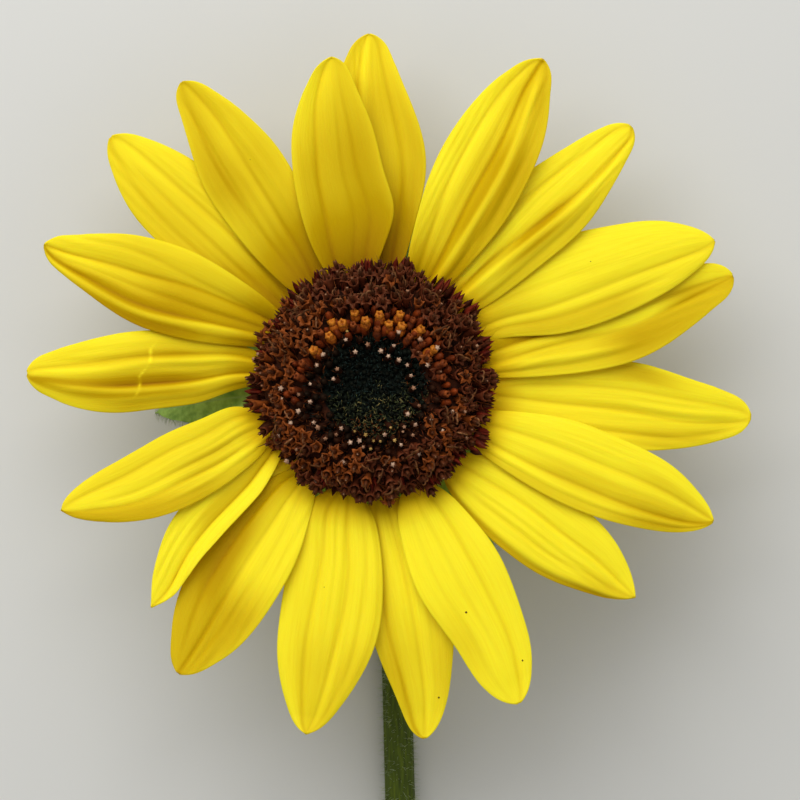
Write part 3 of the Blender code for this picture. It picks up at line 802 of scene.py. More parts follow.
# small forms of the disc: sides, then rings of (radius, height) in millimetres, whose
# pairs repeat round the ring
discForms = {
    # the fused anthers, a narrow ribbed tube that splits into points
    "anthers": (
        10, ((0.26, 2.1),), ((0.34, 2.8), (0.28, 2.8)), ((0.36, 3.3), (0.28, 3.3)),
        ((0.30, 3.9), (0.16, 3.5)), ((0.06, 3.5),),
    ),
    # the shut top of a floret about to open: a low dome of five folded points
    "cap": (
        10, ((0.56, 2.36),), ((0.70, 2.52), (0.60, 2.50)), ((0.76, 2.80), (0.62, 2.76)),
        ((0.66, 3.06), (0.48, 2.98)), ((0.40, 3.14), (0.26, 3.04)), ((0.16, 2.86),),
        ((0.05, 2.60),),
    ),
    # the swollen middle of the same floret
    "belly": (
        10, ((0.50, 0.95),), ((0.70, 1.20),), ((0.84, 1.55), (0.78, 1.55)),
        ((0.84, 1.90), (0.78, 1.90)), ((0.66, 2.24), (0.58, 2.24)), ((0.50, 2.42),),
    ),
    # the lower floret, a plump tube
    "tube": (
        10, ((0.46, 0.0),), ((0.60, 0.8),), ((0.68, 1.4), (0.60, 1.4)),
        ((0.62, 1.95), (0.52, 1.95)), ((0.40, 2.3), (0.34, 2.2)), ((0.12, 2.4),),
    ),
    # the pale tip that shows first when a floret opens: five blunt lobes that part
    "point": (
        10, ((0.16, -0.35),), ((0.34, -0.08), (0.24, -0.10)), ((0.46, 0.16), (0.26, 0.08)),
        ((0.34, 0.34), (0.18, 0.22)), ((0.07, 0.30),),
    ),
    "bud": (6, ((0.34, 0.0),), ((0.44, 0.6),), ((0.34, 1.0),), ((0.12, 1.25),)),
}
# lobe reach, how far the lobes rise and the notch between them, in millimetres
corollas = {"Stars": (1.38, 0.10, 0.72), "Cups": (1.05, 0.60, 0.74), "Curls": (1.50, -0.50, 0.80)}
# form, light tone, dark tone, roughness, size of its blotches in millimetres and gloss
discTissues = {
    "maroon": ("corolla", "#68301a", "#421a0e", 0.5, 1.2, 0.35),  # satin, wine brown
    "russet": ("corolla", "#944a1c", "#622c0e", 0.5, 1.2, 0.35),  # redder, as if lit through
    "darkAnthers": ("anthers", "#5c2e18", "#30160c", 0.5, 1.2, 0.3),  # near black tubes
    "curledStyles": ("curl", "#94623e", "#3e2012", 0.5, 1.0, 0.3),  # waxy tan
    "wideStyles": ("wideCurl", "#6e4426", "#341a0e", 0.5, 1.0, 0.3),
    "amberCaps": ("cap", "#cc7c22", "#84400e", 0.5, 0.5, 0.3),  # pollen gold
    "rustCaps": ("cap", "#8c441c", "#541f0c", 0.5, 1.0, 0.25),
    "amberBellies": ("belly", "#b8641a", "#702c0a", 0.5, 0.6, 0.3),
    "rustBellies": ("belly", "#6c2e12", "#3c150a", 0.5, 1.0, 0.25),
    "redTubes": ("tube", "#823410", "#4e1c0c", 0.5, 1.8, 0.25),
    "darkTubes": ("tube", "#32160c", "#180a06", 0.6, 1.8, 0.15),
    "blackTubes": ("tube", "#1e120c", "#0c0705", 0.6, 1.8, 0.12),
    "rimScales": ("rimScale", "#742214", "#420f0c", 0.5, 1.4, 0.3),  # wine red points
    "darkRimScales": ("rimScale", "#4c1e10", "#2c120a", 0.5, 1.4, 0.25),
    "palePoints": ("point", "#d8b698", "#946c54", 0.6, 0.5, 0.2),  # dry and pinkish
    "tanPoints": ("point", "#b88c6c", "#7a5038", 0.6, 0.5, 0.2),
    "goldPoints": ("point", "#d0a860", "#8a6c34", 0.6, 0.7, 0.2),
    "closedBuds": ("bud", "#0e1713", "#050807", 0.7, 1.6, 0.1),  # blue-black
    "brownScales": ("bristle", "#80401a", "#502810", 0.55, 1.4, 0.3),
    "maroonScales": ("bristle", "#8a4024", "#4c1c10", 0.5, 1.4, 0.3),
    "darkBristles": ("bristle", "#17231c", "#090f0c", 0.6, 1.8, 0.15),
    "tealBristles": ("bristle", "#2c443c", "#15221e", 0.5, 1.8, 0.25),
    "oliveBristles": ("bristle", "#5c6038", "#2c321c", 0.6, 2.0, 0.2),
    "goldBristles": ("bristle", "#ac9658", "#5a4a24", 0.6, 2.0, 0.2),
}


discPlaces = defaultdict(list)  # of each kind of piece, a matrix for each small form


def put(kind, foot, direction, spin, wide, tall, deep=None):
    # Stands a form's +Z along direction at foot, its +X turned by spin
    turn = direction.to_track_quat("Z", "Y").to_matrix().to_4x4()
    spun = turn @ Matrix.Rotation(spin, 4, "Z")
    size = Matrix.Diagonal((wide, deep or wide, tall, 1))
    discPlaces[kind].append(Matrix.Translation(foot) @ spun @ size)


def bedHeight(radius):
    if radius < bloomAxes["eyeRadius"]:
        share = radius / bloomAxes["eyeRadius"]
        return disc["eyeMiddle"] + (disc["eyeEdge"] - disc["eyeMiddle"]) * share**2
    if radius < disc["crestRadius"]:
        return disc["crestHeight"] - disc["innerDip"]
    fall = (radius - disc["crestRadius"]) / (disc["bedRadius"] - disc["crestRadius"])
    return disc["crestHeight"] - disc["outerFall"] * min(fall, 1.1) ** 2


def ovalShare(oval, x, y):
    return math.hypot((x - oval[0]) / oval[2], (y - oval[1]) / oval[3])


def turned(sides, *rings):
    points, faces = ringForm(rings, sides)
    return points * mm, faces


def openCorolla(lobe, lobeRise, notch):
    # A tube that opens into five pointed lobes, closed at the throat
    outer, inner = (lobe * 0.76, 2.65), (lobe * 0.72, 2.76)
    return turned(
        20,
        ((0.42, 0.0),),
        ((0.54, 1.4),),
        ((0.70, 2.1), (0.70, 2.1), (0.66, 2.1), (0.70, 2.1)),
        ((0.86, 2.5), (0.90, 2.5), (0.78, 2.46), (0.90, 2.5)),
        ((lobe, 2.5 + lobeRise), outer, (notch, 2.6), outer),
        ((lobe * 0.98, 2.6 + lobeRise), inner, (notch * 0.9, 2.7), inner),
        ((0.64, 2.6), (0.60, 2.6), (0.54, 2.55), (0.60, 2.6)),
        ((0.42, 2.1),),
    )


def curledStyle(curl):
    # Two arms that part at the top and curl back, curl across in millimetres
    arms = []
    for way in (1, -1):
        path, radii = [Vector((0, 0, 3.3)), Vector((0.02 * way, 0, 3.6))], [0.16, 0.17]
        for step in range(8):
            turn = math.radians(170 - 225 * step / 7)
            x = way * (0.06 + curl + curl * math.cos(turn))
            height = 3.7 + curl * 0.95 * math.sin(turn) - 0.03 * step
            path.append(Vector((x, 0.06 * way * step, height)))
            radii.append(0.17 * (1 - 0.5 * step / 7))
        arms.append(tubeForm(path, radii, 6))
    points, faces = joinForms(arms)
    return points * mm, faces


def bristle():
    # A chaff scale between the florets: a thin blade drawn out to a point
    points = [(-0.10, -0.03, 0), (0.10, -0.03, 0), (0, 0.08, 0)]
    points += [(-0.09, -0.02, 1.0), (0.09, -0.02, 1.0), (0, 0.06, 1.0), (0, 0.10, 1.9)]
    faces = [[0, 1, 4, 3], [1, 2, 5, 4], [2, 0, 3, 5], [3, 4, 6], [4, 5, 6], [5, 3, 6], [2, 1, 0]]
    return np.array(points) * mm, faces


def rimScale():
    # A chaff scale of the rim: a folded blade that narrows to a hard point
    levels = ((0, 0.30, 0.05), (0.9, 0.46, 0.10), (1.8, 0.36, 0.10), (2.5, 0.16, 0.06))
    points, faces = [], []
    for height, wide, fold in levels:
        points += [(-wide, 0, height), (0, fold, height), (wide, 0, height), (0, fold - 0.12, height)]
    points.append((0, 0.02, 3.1))
    for level in range(3):
        for k in range(4):
            a, b = level * 4 + k, level * 4 + (k + 1) % 4
            faces.append([b, a, a + 4, b + 4])
    faces += [[12 + (k + 1) % 4, 12 + k, 16] for k in range(4)] + [[0, 1, 2, 3]]
    return np.array(points) * mm, faces


def buildBed():
    # The dark dry bed that the florets stand in, one turned surface, blacker under the eye
    steps, sides = disc["bedSteps"], disc["bedSides"]
    rings = [(corner,) for corner in disc["bedUnderside"]]
    eyeFrom = (len(rings) + disc["eyeBedSteps"]) * sides
    for step in range(steps):
        radius = disc["bedRadius"] * (1 - step / steps)
        rings.append(((radius, max(bedHeight(radius) - disc["bedUnderTop"], 0.8 * mm)),))
    rings.append(((0.2 * mm, bedHeight(0) - disc["bedUnderTop"]),))
    points, faces = ringForm(rings, sides)
    material = blotched("bedTissue", ("#4c2410", "#28120a"), 0.9, 1.5 * mm)
    bed = meshPiece("floretBed", inWorld(points), faces, material)
    bed.data.materials.append(blotched("eyeBedTissue", ("#1c241a", "#0c100c"), 0.9, 1.5 * mm))
    for face in bed.data.polygons:
        face.material_index = int(face.index >= eyeFrom)
    onPlant(bed, "floret_maroon", "floret_ring")


def standFloret(x, y, chance, leanMore=0.0):
    # Foot, direction and bearing of the floret at x, y: the further out, the more it leans
    radius, angle = math.hypot(x, y), math.atan2(y, x)
    lean = disc["innerLean"] * float(smoothStep(5 * mm, 10 * mm, radius))
    lean += disc["outerLean"] * float(smoothStep(10 * mm, 18 * mm, radius)) + leanMore
    lean = math.radians(lean + chance.uniform(-disc["unevenLean"], disc["unevenLean"]))
    direction = (leaning(angle, lean) + scatter(chance) * 0.14).normalized()
    x += 0.3 * mm * float(smoothStep(11 * mm, 16 * mm, radius))
    foot = Vector((x, y, bedHeight(radius) - disc["bedUnderTop"] - 0.1 * mm))
    return foot, direction, angle


def standUnder(x, y, height, chance, leanMore=0.0):
    # The same for a floret whose head is over x, y, height along it
    _, direction, angle = standFloret(x, y, chance, leanMore)
    foot = Vector((x - direction.x * height, y - direction.y * height, 0))
    foot.z = bedHeight(math.hypot(foot.x, foot.y)) - disc["bedUnderTop"] - 0.1 * mm
    return foot, direction, angle


def spiral(spacing, chance):
    # Places set by the golden angle, a little out of true, with a ragged rim
    for n in range(int((disc["floretReach"] / spacing) ** 2)):
        radius = spacing * math.sqrt(n + 0.5) * chance.uniform(0.98, 1.02)
        angle = n * math.radians(137.508) + chance.uniform(-0.03, 0.03)
        radius *= 1 + 0.025 * math.sin(5 * angle + 1) + 0.02 * math.sin(11 * angle)
        yield radius * math.cos(angle), radius * math.sin(angle)


def addScales(foot, direction, chance, kinds, count, tall):
    # Chaff scales that stand up all round the foot of a floret or bud
    for _ in range(count):
        nudge, tilt = scatter(chance) * 0.6 * mm, scatter(chance) * 0.5
        spin, height = chance.uniform(0, 6), tall * chance.uniform(0.7, 1.2)
        put(chance.choice(kinds), foot + nudge, (direction + tilt).normalized(), spin, 1, height)


def dealFlorets():
    # Open florets over the outer disc, shut brown ones between the pale tips
    chance = random.Random(11)
    heads = [Vector((x, y)) * mm for x, y, _ in disc["heads"]]
    for x, y in spiral(disc["floretSpacing"], chance):
        stage = ovalShare(disc["pointOval"], x, y)
        if ovalShare(disc["budOval"], x, y) < disc["floretsBeyond"]:
            continue
        here = Vector((x, y))
        near = min((here + here.normalized() * 0.9 * mm - head).length for head in heads)
        if near < disc["clearOfHead"]:
            continue
        size = chance.uniform(0.80, 1.12)
        spin = math.atan2(y, x) + math.pi / 2 + chance.uniform(-1.2, 1.2)
        foot, direction, _ = standFloret(x, y, chance)
        if near < disc["shutNearHead"]:
            # short shut florets crowd between the tall ones
            tall = chance.uniform(1.0, 1.3)
            put("redTubes", foot, direction, spin, size, tall)
            addScales(foot, direction, chance, ("brownScales", "maroonScales"), 5, 1.5)
            continue
        if stage < disc["openBeyond"][0 if y < 0 else 1]:
            tall = chance.uniform(0.85, 1.15)
            tube, kinds = "darkTubes", ("brownScales", "maroonScales")
            if stage < disc["blackWithin"]:
                tube, kinds = "blackTubes", ("darkBristles", "brownScales")
            put(tube, foot, direction, spin, size, tall)
            addScales(foot, direction, chance, kinds, 8, 1.5)
            continue
        redder = 0.10 + 0.35 * (stage < 1.5) + 0.55 * float(smoothStep(2 * mm, 14 * mm, -x))
        kind = "russet" if chance.random() < redder else "maroon"
        kind += chance.choice(("Stars", "Cups", "Cups", "Curls", "Curls"))
        tall = size * chance.uniform(0.75, 1.35)
        put(kind, foot, direction, spin, size, tall)
        put("darkAnthers", foot, direction, spin, size, tall)
        addScales(foot, direction, chance, ("maroonScales", "brownScales"), 3, 2.0)
        if chance.random() < 0.55:
            curl = size * chance.uniform(0.7, 1.15)
            style = chance.choice(("curledStyles", "wideStyles", "wideStyles"))
            if here.length < disc["styleReach"]:
                put(style, foot, direction, spin, curl, tall)
        if chance.random() < 0.35:
            small = chance.choice((0.35, 0.45, 0.45, 0.75))
            top = foot + direction * 3.6 * tall * mm
            put("tanPoints", top, direction, spin, small, small)


def dealHeads():
    # The tall heads, each a cap over a swollen belly on a red tube
    chance = random.Random(31)
    for x, y, tissue in disc["heads"]:
        tall = chance.uniform(1.15, 1.3)
        foot, direction, angle = standUnder(x * mm, y * mm, disc["headHeight"] * tall, chance, 12)
        size = chance.uniform(1.05, 1.2) * (1 if tissue == "amber" else 0.8)
        for kind in (tissue + "Caps", tissue + "Bellies", "redTubes"):
            put(kind, foot, direction, angle, size, tall)


def dealPoints():
    # Pale and golden tips, each on a shut floret with scales about it
    chance = random.Random(5)
    for kind in ("palePoints", "goldPoints"):
        for x, y in disc[kind]:
            tall = chance.uniform(1.1, 1.35)
            height = disc["pointHeight"] * tall
            foot, direction, angle = standUnder(x * mm, y * mm, height, chance)
            size = chance.uniform(0.75, 1.2) * (1 if kind == "palePoints" else 0.8)
            addScales(foot, direction, chance, ("brownScales", "darkBristles"), 6, 1.3)
            put("darkTubes", foot, direction, angle, 0.8, tall)
            top = foot + direction * height
            tilted = (direction + scatter(chance) * 0.5).normalized()
            put(kind if chance.random() < 0.75 else "tanPoints", top, tilted, angle, size, size)


def dealTufts():
    # The rim ends in ragged tufts of pointed scales over the feet of the rays
    chance = random.Random(29)
    for bearing, reach in disc["tufts"]:
        for k in range(disc["scalesPerTuft"]):
            turn = math.radians(bearing + chance.uniform(-7, 7))
            lean = math.radians(chance.uniform(46, 76))
            tall = chance.uniform(0.8, 1.2)
            out = reach * mm - abs(turn - math.radians(bearing)) * 9 * mm
            out -= 3.1 * tall * math.sin(lean) * mm * chance.uniform(0.9, 1.25)
            foot = outwards(turn) * out + Vector((0, 0, chance.uniform(0.9, 1.7) * mm))
            kind = "rimScales" if k % 3 else "darkRimScales"
            put(kind, foot, leaning(turn, lean), chance.uniform(-0.9, 0.9), 1.3, tall)
    # flatter scales close the gaps between the feet of the rays: chaff of the rim, and, dark, they are
    # also painted shade in these gaps
    for _ in range(disc["flatScales"]):
        turn, lean = chance.uniform(0, 2 * math.pi), math.radians(chance.uniform(74, 92))
        foot = outwards(turn) * chance.uniform(15.6, 17.0) * mm
        foot.z = chance.uniform(-1.6, 0.2) * mm
        spin = chance.uniform(-0.4, 0.4)
        put("darkRimScales", foot, leaning(turn, lean), spin, 1.7, 1.05, deep=1.3)


def dealBuds():
    # Closed buds over the eye, with greener and lighter chaff towards the stem, partly its own colour
    # and partly painted light on the eye's lower side
    chance = random.Random(17)
    for x, y in spiral(disc["budSpacing"], chance):
        stage = ovalShare(disc["budOval"], x, y)
        if stage > disc["budsWithin"]:
            continue
        foot, direction, _ = standFloret(x, y, chance, leanMore=-6)
        size = 0.85 + 0.3 * stage + chance.uniform(-0.08, 0.08)
        spin = chance.uniform(0, 6)
        put("closedBuds", foot, direction, spin, size, size)
        lower = (disc["budOval"][1] - y) / disc["budOval"][3]
        kinds = ["darkBristles"] * 5 + ["tealBristles"] * 2
        if lower > chance.uniform(-0.1, 0.5):
            kinds = ["oliveBristles"] * 4 + ["darkBristles", "goldBristles"]
        if lower > chance.uniform(0.6, 0.9):
            kinds = ["oliveBristles", "goldBristles", "brownScales"]
        addScales(foot, direction, chance, kinds, 10, 0.85 + 0.35 * max(lower, 0))


def buildDisc():
    for deal in (dealFlorets, dealHeads, dealPoints, dealBuds, dealTufts):
        deal()
    forms = {kind: turned(*rings) for kind, rings in discForms.items()}
    forms.update({kind: openCorolla(*sizes) for kind, sizes in corollas.items()})
    forms.update(bristle=bristle(), rimScale=rimScale())
    forms.update(curl=curledStyle(0.40), wideCurl=curledStyle(0.60))
    for tissue, (form, *tones, roughness, size, gloss) in discTissues.items():
        material = blotched(tissue + "Tissue", tones, roughness, size * mm, gloss)
        green = "Bristles" in tissue
        if not green:
            shine = material.node_tree.nodes["Principled BSDF"].inputs["Specular Tint"]
            shine.default_value = hexColour(disc["glint"])
        kinds = {tissue: form} if form in forms else {tissue + kind: kind for kind in corollas}
        for name, kind in kinds.items():
            points, faces = joinCopies(*forms[kind], discPlaces[name])
            piece = meshPiece(name, inWorld(points), faces, material)
            if name == "closedBuds":
                onPlant(piece, "eye_green_black", "disc_centre")
            else:
                onPlant(piece, "eye_green_black" if green else "floret_maroon")


buildBed()
buildDisc()
print("disc built")

stalk = {
    "bendRadius": 12.0 * mm,
    "bendSteps": 24,
    "straight": 1.5 * mm,
    "radius": 2.55 * mm,
    "cutRadius": 2.65 * mm,
    "cutAt": -95.0 * mm,
    "startSide": 3.3 * mm,
    "cutSide": 5.4 * mm,
    "topRadius": 4.6 * mm,
    "receptacleDepth": 12.6 * mm,
    "ribs": 11,
    "ribDepth": 0.10 * mm,
    "stepsAlong": 260,
    "crowding": 1.4,  # of the steps towards the bend
    "sides": 88,
}


def stalkPath(steps):
    # Its middle line from under the receptacle to the cut, in the bloom's place but level
    form = stalk
    tilt = bloomAxes["tilt"]
    turn = math.pi / 2 - tilt
    top = -(form["receptacleDepth"] + form["straight"]) * math.sin(tilt)
    straight = Vector((0, math.sin(tilt), math.cos(tilt))) * form["straight"]
    bend = []
    for step in range(form["bendSteps"] + 1):
        share = step / form["bendSteps"]
        angle = turn * (1 - share)
        along = form["bendRadius"] * (math.sin(turn) - math.sin(angle))
        height = form["cutRadius"] + form["bendRadius"] * (1 - math.cos(angle))
        side = form["startSide"] * float(smoothStep(0, 1, share))
        bend.append(Vector((side, top - along, height)))
    corners = [bend[0] + straight, *bend, bend[-1] - Vector((0, form["straight"], 0))]
    corners.append(Vector((form["cutSide"], form["cutAt"], form["cutRadius"])))
    reach = np.cumsum([0] + [(b - a).length for a, b in zip(corners, corners[1:])])
    bendEnd, straightEnd, cut = reach[-3:]
    flat = np.array(corners)
    even = np.linspace(0, 1, steps) ** form["crowding"] * cut
    path = np.stack([np.interp(even, reach, flat[:, axis]) for axis in range(3)], axis=1)
    path += np.array((discMiddle.x, discMiddle.y, 0))
    bent = np.clip(even / bendEnd, 0, 1)
    radii = form["radius"] + (form["topRadius"] - form["radius"]) * (1 - bent) ** 3
    radii += (form["cutRadius"] - form["radius"]) * smoothStep(straightEnd, cut, even)
    return path, radii


def stalkSurface(path, radii, share, turn):
    # Points on the skin at a share of the path and an angle about it, and the way out there
    ahead = np.gradient(path, axis=0)
    ahead /= np.linalg.norm(ahead, axis=1)[:, None]
    side = np.tile(np.array((1.0, 0, 0)), (len(path), 1))
    side -= (side * ahead).sum(axis=1)[:, None] * ahead
    side /= np.linalg.norm(side, axis=1)[:, None]
    at = share * (len(path) - 1)
    rows = np.arange(len(path))
    middle, across, over = (
        np.stack([np.interp(at, rows, source[:, axis]) for axis in range(3)], axis=1)
        for source in (path, side, np.cross(ahead, side))
    )
    rib = 0.5 - 0.5 * np.cos(stalk["ribs"] * turn)
    radius = np.interp(at, rows, radii) - stalk["ribDepth"] * rib
    out = across * np.cos(turn)[:, None] + over * np.sin(turn)[:, None]
    return middle + out * radius[:, None], out


def stalkSkin():
    # Green skin over fibres about half a millimetre apart: matt, streaked lengthwise
    material = newMaterial("stalkSkin", "#55661c", 0.62, 0.25)
    place = addNode(material, "UVMap", {"uv_map": "blade"}).outputs["UV"]
    drawn = addNode(material, "Mapping", {"Scale": (24, 30, 1)}, {"Vector": place}).outputs["Vector"]
    grain = {"Scale": 1.0, "Detail": 4.0, "Roughness": 0.6}
    fibres = addNode(material, "TexNoise", grain, {"Vector": drawn}).outputs["Fac"]
    stops = ((0.3, "#364206"), (0.55, "#4c5c08"), (0.8, "#6a7814"))
    ramp = addNode(material, "ValToRGB", {"stops": stops}, {"Fac": fibres})
    return dress(material, ramp.outputs["Color"], fibres, 0.5, 0.06 * mm)


def buildStalk():
    path, radii = stalkPath(stalk["stepsAlong"])
    piece, share, across = gridPiece("stalk", stalk["stepsAlong"], stalk["sides"], stalkSkin())
    points, _ = stalkSurface(path, radii, share, np.pi * across)
    setPoints(piece, points)
    bpy.ops.object.select_all(action="DESELECT")
    piece.select_set(True)
    bpy.context.view_layer.objects.active = piece
    bpy.ops.object.mode_set(mode="EDIT")
    closeMesh()
    # The cut through the stalk: pale, dry, spongy pith
    pith = blotched("cutPith", ("#d4d8a8", "#9aa868"), 0.85, 0.6 * mm, depth=0.10 * mm)
    piece.data.materials.append(pith)
    for face in piece.data.polygons:
        if len(face.vertices) > 4:
            face.material_index = 1
            face.use_smooth = False
    onPlant(piece, "stem_green", "stem", "neck")
    return path, radii


receptacle = {
    "sides": 120,
    "bumps": 18,
    "bumpDepth": 0.25 * mm,
    "bumpsUnder": -4.5 * mm,
    # radius and height in millimetres, from the middle of the top round to that of the
    # underside
    "profile": (
        (0.3, -0.3), (14.0, -0.3), (15.0, -0.6), (15.0, -3.9), (15.4, -4.3), (17.4, -4.3),
        (17.7, -4.6), (17.7, -6.2), (17.3, -7.6), (16.5, -8.6), (14.9, -9.8), (12.6, -11.0),
        (9.4, -11.7), (6.6, -11.9), (4.7, -12.3), (0.3, -12.3),
    ),
    "hairyPart": (6, 15),  # of the profile's corners
}


def buildReceptacle():
    form = receptacle
    bpy.ops.object.select_all(action="DESELECT")
    bpy.ops.mesh.primitive_plane_add(size=1 * mm, location=(0, 0, 0))
    piece = bpy.context.object
    piece.name = piece.data.name = "flowerBase"
    # Soft green skin over pith, faintly uneven
    tones = ("#7c9a4a", "#55782e")
    material = blotched("flowerBaseTissue", tones, 0.6, 2.5 * mm, depth=0.08 * mm)
    piece.data.materials.append(material)
    bpy.ops.object.mode_set(mode="EDIT")
    bpy.ops.mesh.merge(type="CENTER")
    radius, height = form["profile"][0]
    bpy.ops.transform.translate(value=(radius * mm, 0, height * mm))
    for (radius, height), (nextRadius, nextHeight) in zip(form["profile"], form["profile"][1:]):
        step = ((nextRadius - radius) * mm, 0, (nextHeight - height) * mm)
        bpy.ops.mesh.extrude_vertices_move(TRANSFORM_OT_translate={"value": step})
    bpy.ops.mesh.select_all(action="SELECT")
    bpy.ops.mesh.spin(steps=form["sides"], angle=2 * math.pi, center=(0, 0, 0), axis=(0, 0, 1))
    closeMesh()
    bpy.ops.object.shade_smooth()
    points = readPoints(piece)
    radius = np.linalg.norm(points[:, :2], axis=1)
    turn = np.arctan2(points[:, 1], points[:, 0])
    dent = 0.5 - 0.5 * np.cos(form["bumps"] * turn)
    dent *= smoothStep(5 * mm, 12 * mm, radius) * (points[:, 2] < form["bumpsUnder"])
    points[:, :2] *= (1 - form["bumpDepth"] * dent / np.maximum(radius, mm))[:, None]
    setPoints(piece, inWorld(points))
    onPlant(piece, "bract_green", "receptacle")


bracts = {
    "count": 18,
    "firstAngle": 184,
    "width": 8.4 * mm,
    "thickness": 0.40 * mm,
    "solidThickness": 0.6 * mm,
    "overFloor": 0.05 * mm,
    "swellFrom": 0.30,
    "tipShare": 0.03,
    "fold": 0.18,
    "keel": 0.35 * mm,  # how deep the midrib lies
    "keelWidth": 0.5 * mm,
    "veins": 0.05 * mm,
    "wave": 0.25 * mm,
    # length, foot radius, foot height, slope at the foot and most bend
    "spreading": (24.0 * mm, 18.3 * mm, -5.3 * mm, 9, 48),
    "reflexed": (27.0 * mm, 17.7 * mm, -7.6 * mm, 21, 62),
    "leastBend": -60,
    "halvings": 30,
    "spineSteps": 24,
    "stepsAlong": 64,
    "stepsAcross": 26,
}


def bractSpine(length, radius, height, slope, bend):
    places, steps = [(radius, height)], bracts["spineSteps"]
    for i in range(steps):
        slant = slope + bend * (i + 0.5) / steps
        radius += length / steps * math.cos(slant)
        height -= length / steps * math.sin(slant)
        places.append((radius, height))
    return np.array(places)


def bendToFloor(angle, length, radius, height, slope, most):
    # How far a bract bends before its point meets the floor, found by halving
    tilt = bloomAxes["tilt"]
    low, high = math.radians(bracts["leastBend"]), most
    for _ in range(bracts["halvings"]):
        middle = (low + high) / 2
        tipRadius, tipHeight = bractSpine(length, radius, height, slope, middle)[-1]
        floor = (tipRadius * math.sin(angle) * math.sin(tilt) - discMiddle.z) / math.cos(tilt)
        if tipHeight - bracts["solidThickness"] / 2 < floor:
            high = middle
        else:
            low = middle
    return low


def bractHalfWidth(share):
    wave = np.minimum(bracts["swellFrom"] + (1.02 - bracts["swellFrom"]) * share, 1)
    swell = np.maximum(np.sin(np.pi * wave), 0) ** 0.8
    return bracts["width"] / 2 * np.maximum(swell, bracts["tipShare"])


def bractTissue():
    # Leafy bract: dull green, blotched, with a paler midrib
    tones = ("#a4c858", "#6c9432")
    material = blotched("bractTissue", tones, 0.6, 2.2 * mm, 0.3, 0.08 * mm, (0.32, 0.62), 0.5)
    blade = material.node_tree.nodes["Principled BSDF"].inputs["Base Color"].links[0].from_socket
    place = addNode(material, "UVMap", {"uv_map": "blade"}).outputs["UV"]
    across = addNode(material, "SeparateXYZ", links={"Vector": place}).outputs["Y"]
    slopes = []
    for start, end in ((0.46, 0.5), (0.54, 0.5)):
        limits = {"From Min": start, "From Max": end}
        slope = addNode(material, "MapRange", limits, {"Value": across})
        slopes.append(slope.outputs["Result"])
    midrib = addNode(material, "Math", {"operation": "MULTIPLY"}, dict(enumerate(slopes)))
    over = {"data_type": "RGBA", 7: hexColour("#9cbc6a")}
    mixed = addNode(material, "Mix", over, {0: midrib.outputs[0], 6: blade})
    return dress(material, mixed.outputs[2])


def buildBracts():
    # Returns the long edges of each, with the way out of it, for the hairs
    form = bracts
    chance = random.Random(3)
    material = bractTissue()
    margins = []
    for i in range(form["count"]):
        angle = math.radians(form["firstAngle"] + 360 / form["count"] * i + chance.uniform(-2, 2))
        length, radius, height, slope, most = form["reflexed" if i % 2 else "spreading"]
        length *= chance.uniform(0.9, 1.0)
        slope = math.radians(slope)
        bend = bendToFloor(angle, length, radius, height, slope, math.radians(most))
        spine = bractSpine(length, radius, height, slope, bend)
        widthScale = chance.uniform(0.9, 1.0)
        name = f"bract_{i + 1:02d}"
        piece, share, across = gridPiece(
            f"sepal_{i + 1:02d}", form["stepsAlong"], form["stepsAcross"], material
        )
        look = random.Random(name)
        at = share * form["spineSteps"]
        rows = np.arange(len(spine))
        outAt, highAt = np.interp(at, rows, spine[:, 0]), np.interp(at, rows, spine[:, 1])
        half = bractHalfWidth(share) * widthScale
        outward = np.array((math.cos(angle), math.sin(angle), 0))
        side = np.array((-outward[1], outward[0], 0))
        slantVeins = np.sin((share * 9 - np.abs(across) * 2.2) * 2 * np.pi)
        room = np.sin(np.pi * np.clip(share, 0, 1))
        rise = -form["fold"] * half * across**2 * (1 - share)
        rise -= form["keel"] * np.exp(-np.abs(across * half) / form["keelWidth"]) * room
        rise += form["veins"] * slantVeins * room
        wave = np.sin(share * look.uniform(14, 20) + look.uniform(0, 6) + 2 * np.sign(across))
        rise += form["wave"] * wave * across**4 * room
        points = np.outer(outAt, outward) + np.outer(half * across, side)
        points[:, 2] = highAt + rise + form["keel"] * 0.4
        world = inWorld(points)
        world[:, 2] = np.maximum(world[:, 2], form["thickness"] / 2 + form["overFloor"])
        setPoints(piece, world)
        edge = np.abs(across) > 0.999
        margins.append((world[edge], np.outer(np.sign(across[edge]), side)))
        thicken(piece, form["thickness"])
        onPlant(piece, "bract_green", name)
    return margins


hairs = {
    "onStalk": 3400,
    "onBase": 900,
    "perBractPoint": 3,
    "length": (0.8 * mm, 1.6 * mm),
    "radius": 0.045 * mm,
    "rooted": 0.1 * mm,  # how deep each stands in the skin
    "overFloor": 0.1 * mm,  # what is lower grows no hair
    "spread": 0.28,
}


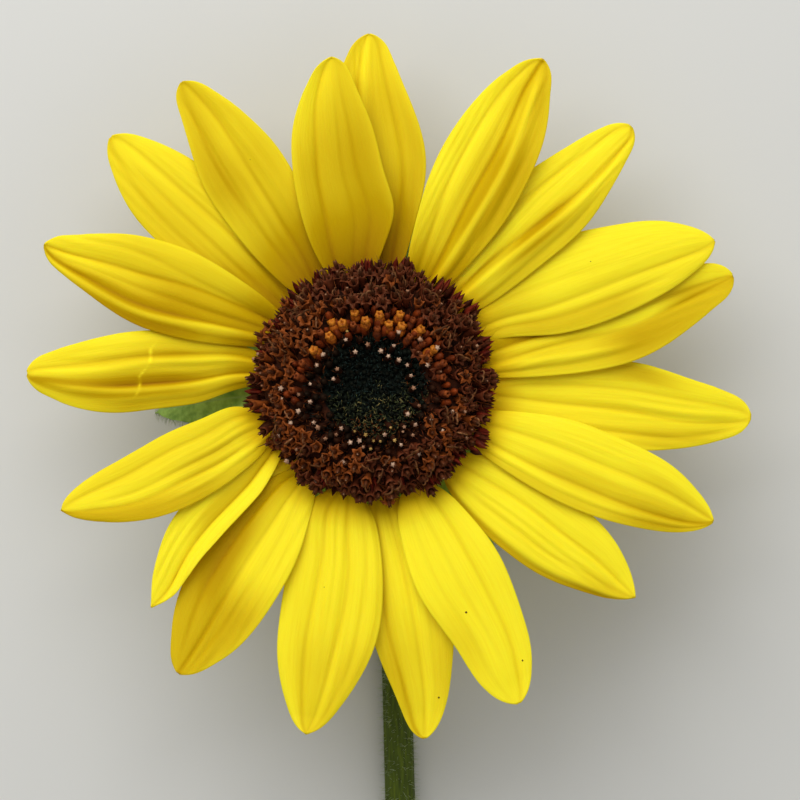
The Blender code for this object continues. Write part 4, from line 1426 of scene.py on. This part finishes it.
def hairRoots(path, radii, margins, chance):
    # Where the hairs stand, and which way out of the skin each points
    onStalk = chance.uniform(0.01, 0.995, hairs["onStalk"])
    skin, out = stalkSurface(path, radii, onStalk, chance.uniform(-np.pi, np.pi, len(onStalk)))
    turn = chance.uniform(-np.pi, np.pi, hairs["onBase"])
    pick = chance.uniform(0, 1, hairs["onBase"])
    outline = np.array(receptacle["profile"][slice(*receptacle["hairyPart"])]) * mm
    rows = np.arange(len(outline))
    radius, height = (np.interp(pick * rows[-1], rows, outline[:, axis]) for axis in (0, 1))
    base = np.stack([radius * np.cos(turn), radius * np.sin(turn), height], axis=1)
    lower = np.stack([np.cos(turn), np.sin(turn), -1.4 * pick], axis=1)
    matrix = np.array(toWorld)[:3, :3]
    roots, ways = [skin, inWorld(base)], [out, lower @ matrix.T]
    for edge, side in margins:
        for _ in range(hairs["perBractPoint"]):
            jitter = chance.uniform(-0.2, 0.2, edge.shape) * mm
            roots.append(edge + jitter * np.array((1, 1, 0.3)))
            ways.append(side @ matrix.T)
    return np.concatenate(roots), np.concatenate(ways)


def buildHairs(path, radii, margins):
    chance = np.random.default_rng(23)
    roots, ways = hairRoots(path, radii, margins, chance)
    ways = ways / np.linalg.norm(ways, axis=1)[:, None] + chance.normal(0, hairs["spread"], ways.shape)
    ways /= np.linalg.norm(ways, axis=1)[:, None]
    tips = roots + ways * chance.uniform(*hairs["length"], len(roots))[:, None]
    points, faces = [], []
    for root, tip in zip(roots, tips):
        if min(root[2], tip[2]) <= hairs["overFloor"]:
            continue
        ahead = Vector(tip - root).normalized()
        turn = ahead.to_track_quat("Z", "Y")
        start = len(points)
        for k in range(3):
            around = np.array(turn @ outwards(2 * math.pi * k / 3)) * hairs["radius"]
            points.append(root - np.array(ahead) * hairs["rooted"] + around)
        points.append(tip)
        for face in ((0, 1, 3), (1, 2, 3), (2, 0, 3), (2, 1, 0)):
            faces.append([start + corner for corner in face])
    # Stiff hairs: pale, half clear, catching the light
    material = newMaterial("stiffHair", "#b8c49a", 0.45, 0.4)
    onPlant(meshPiece("plantHairs", np.array(points), faces, material), "stem_green")


stalkLine, stalkRadii = buildStalk()
print("stalk built")
buildReceptacle()
bractMargins = buildBracts()
print("base and bracts built")
buildHairs(stalkLine, stalkRadii, bractMargins)
print("hairs built")

[[list(corner) for corner in box] for box in (cadBox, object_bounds())]
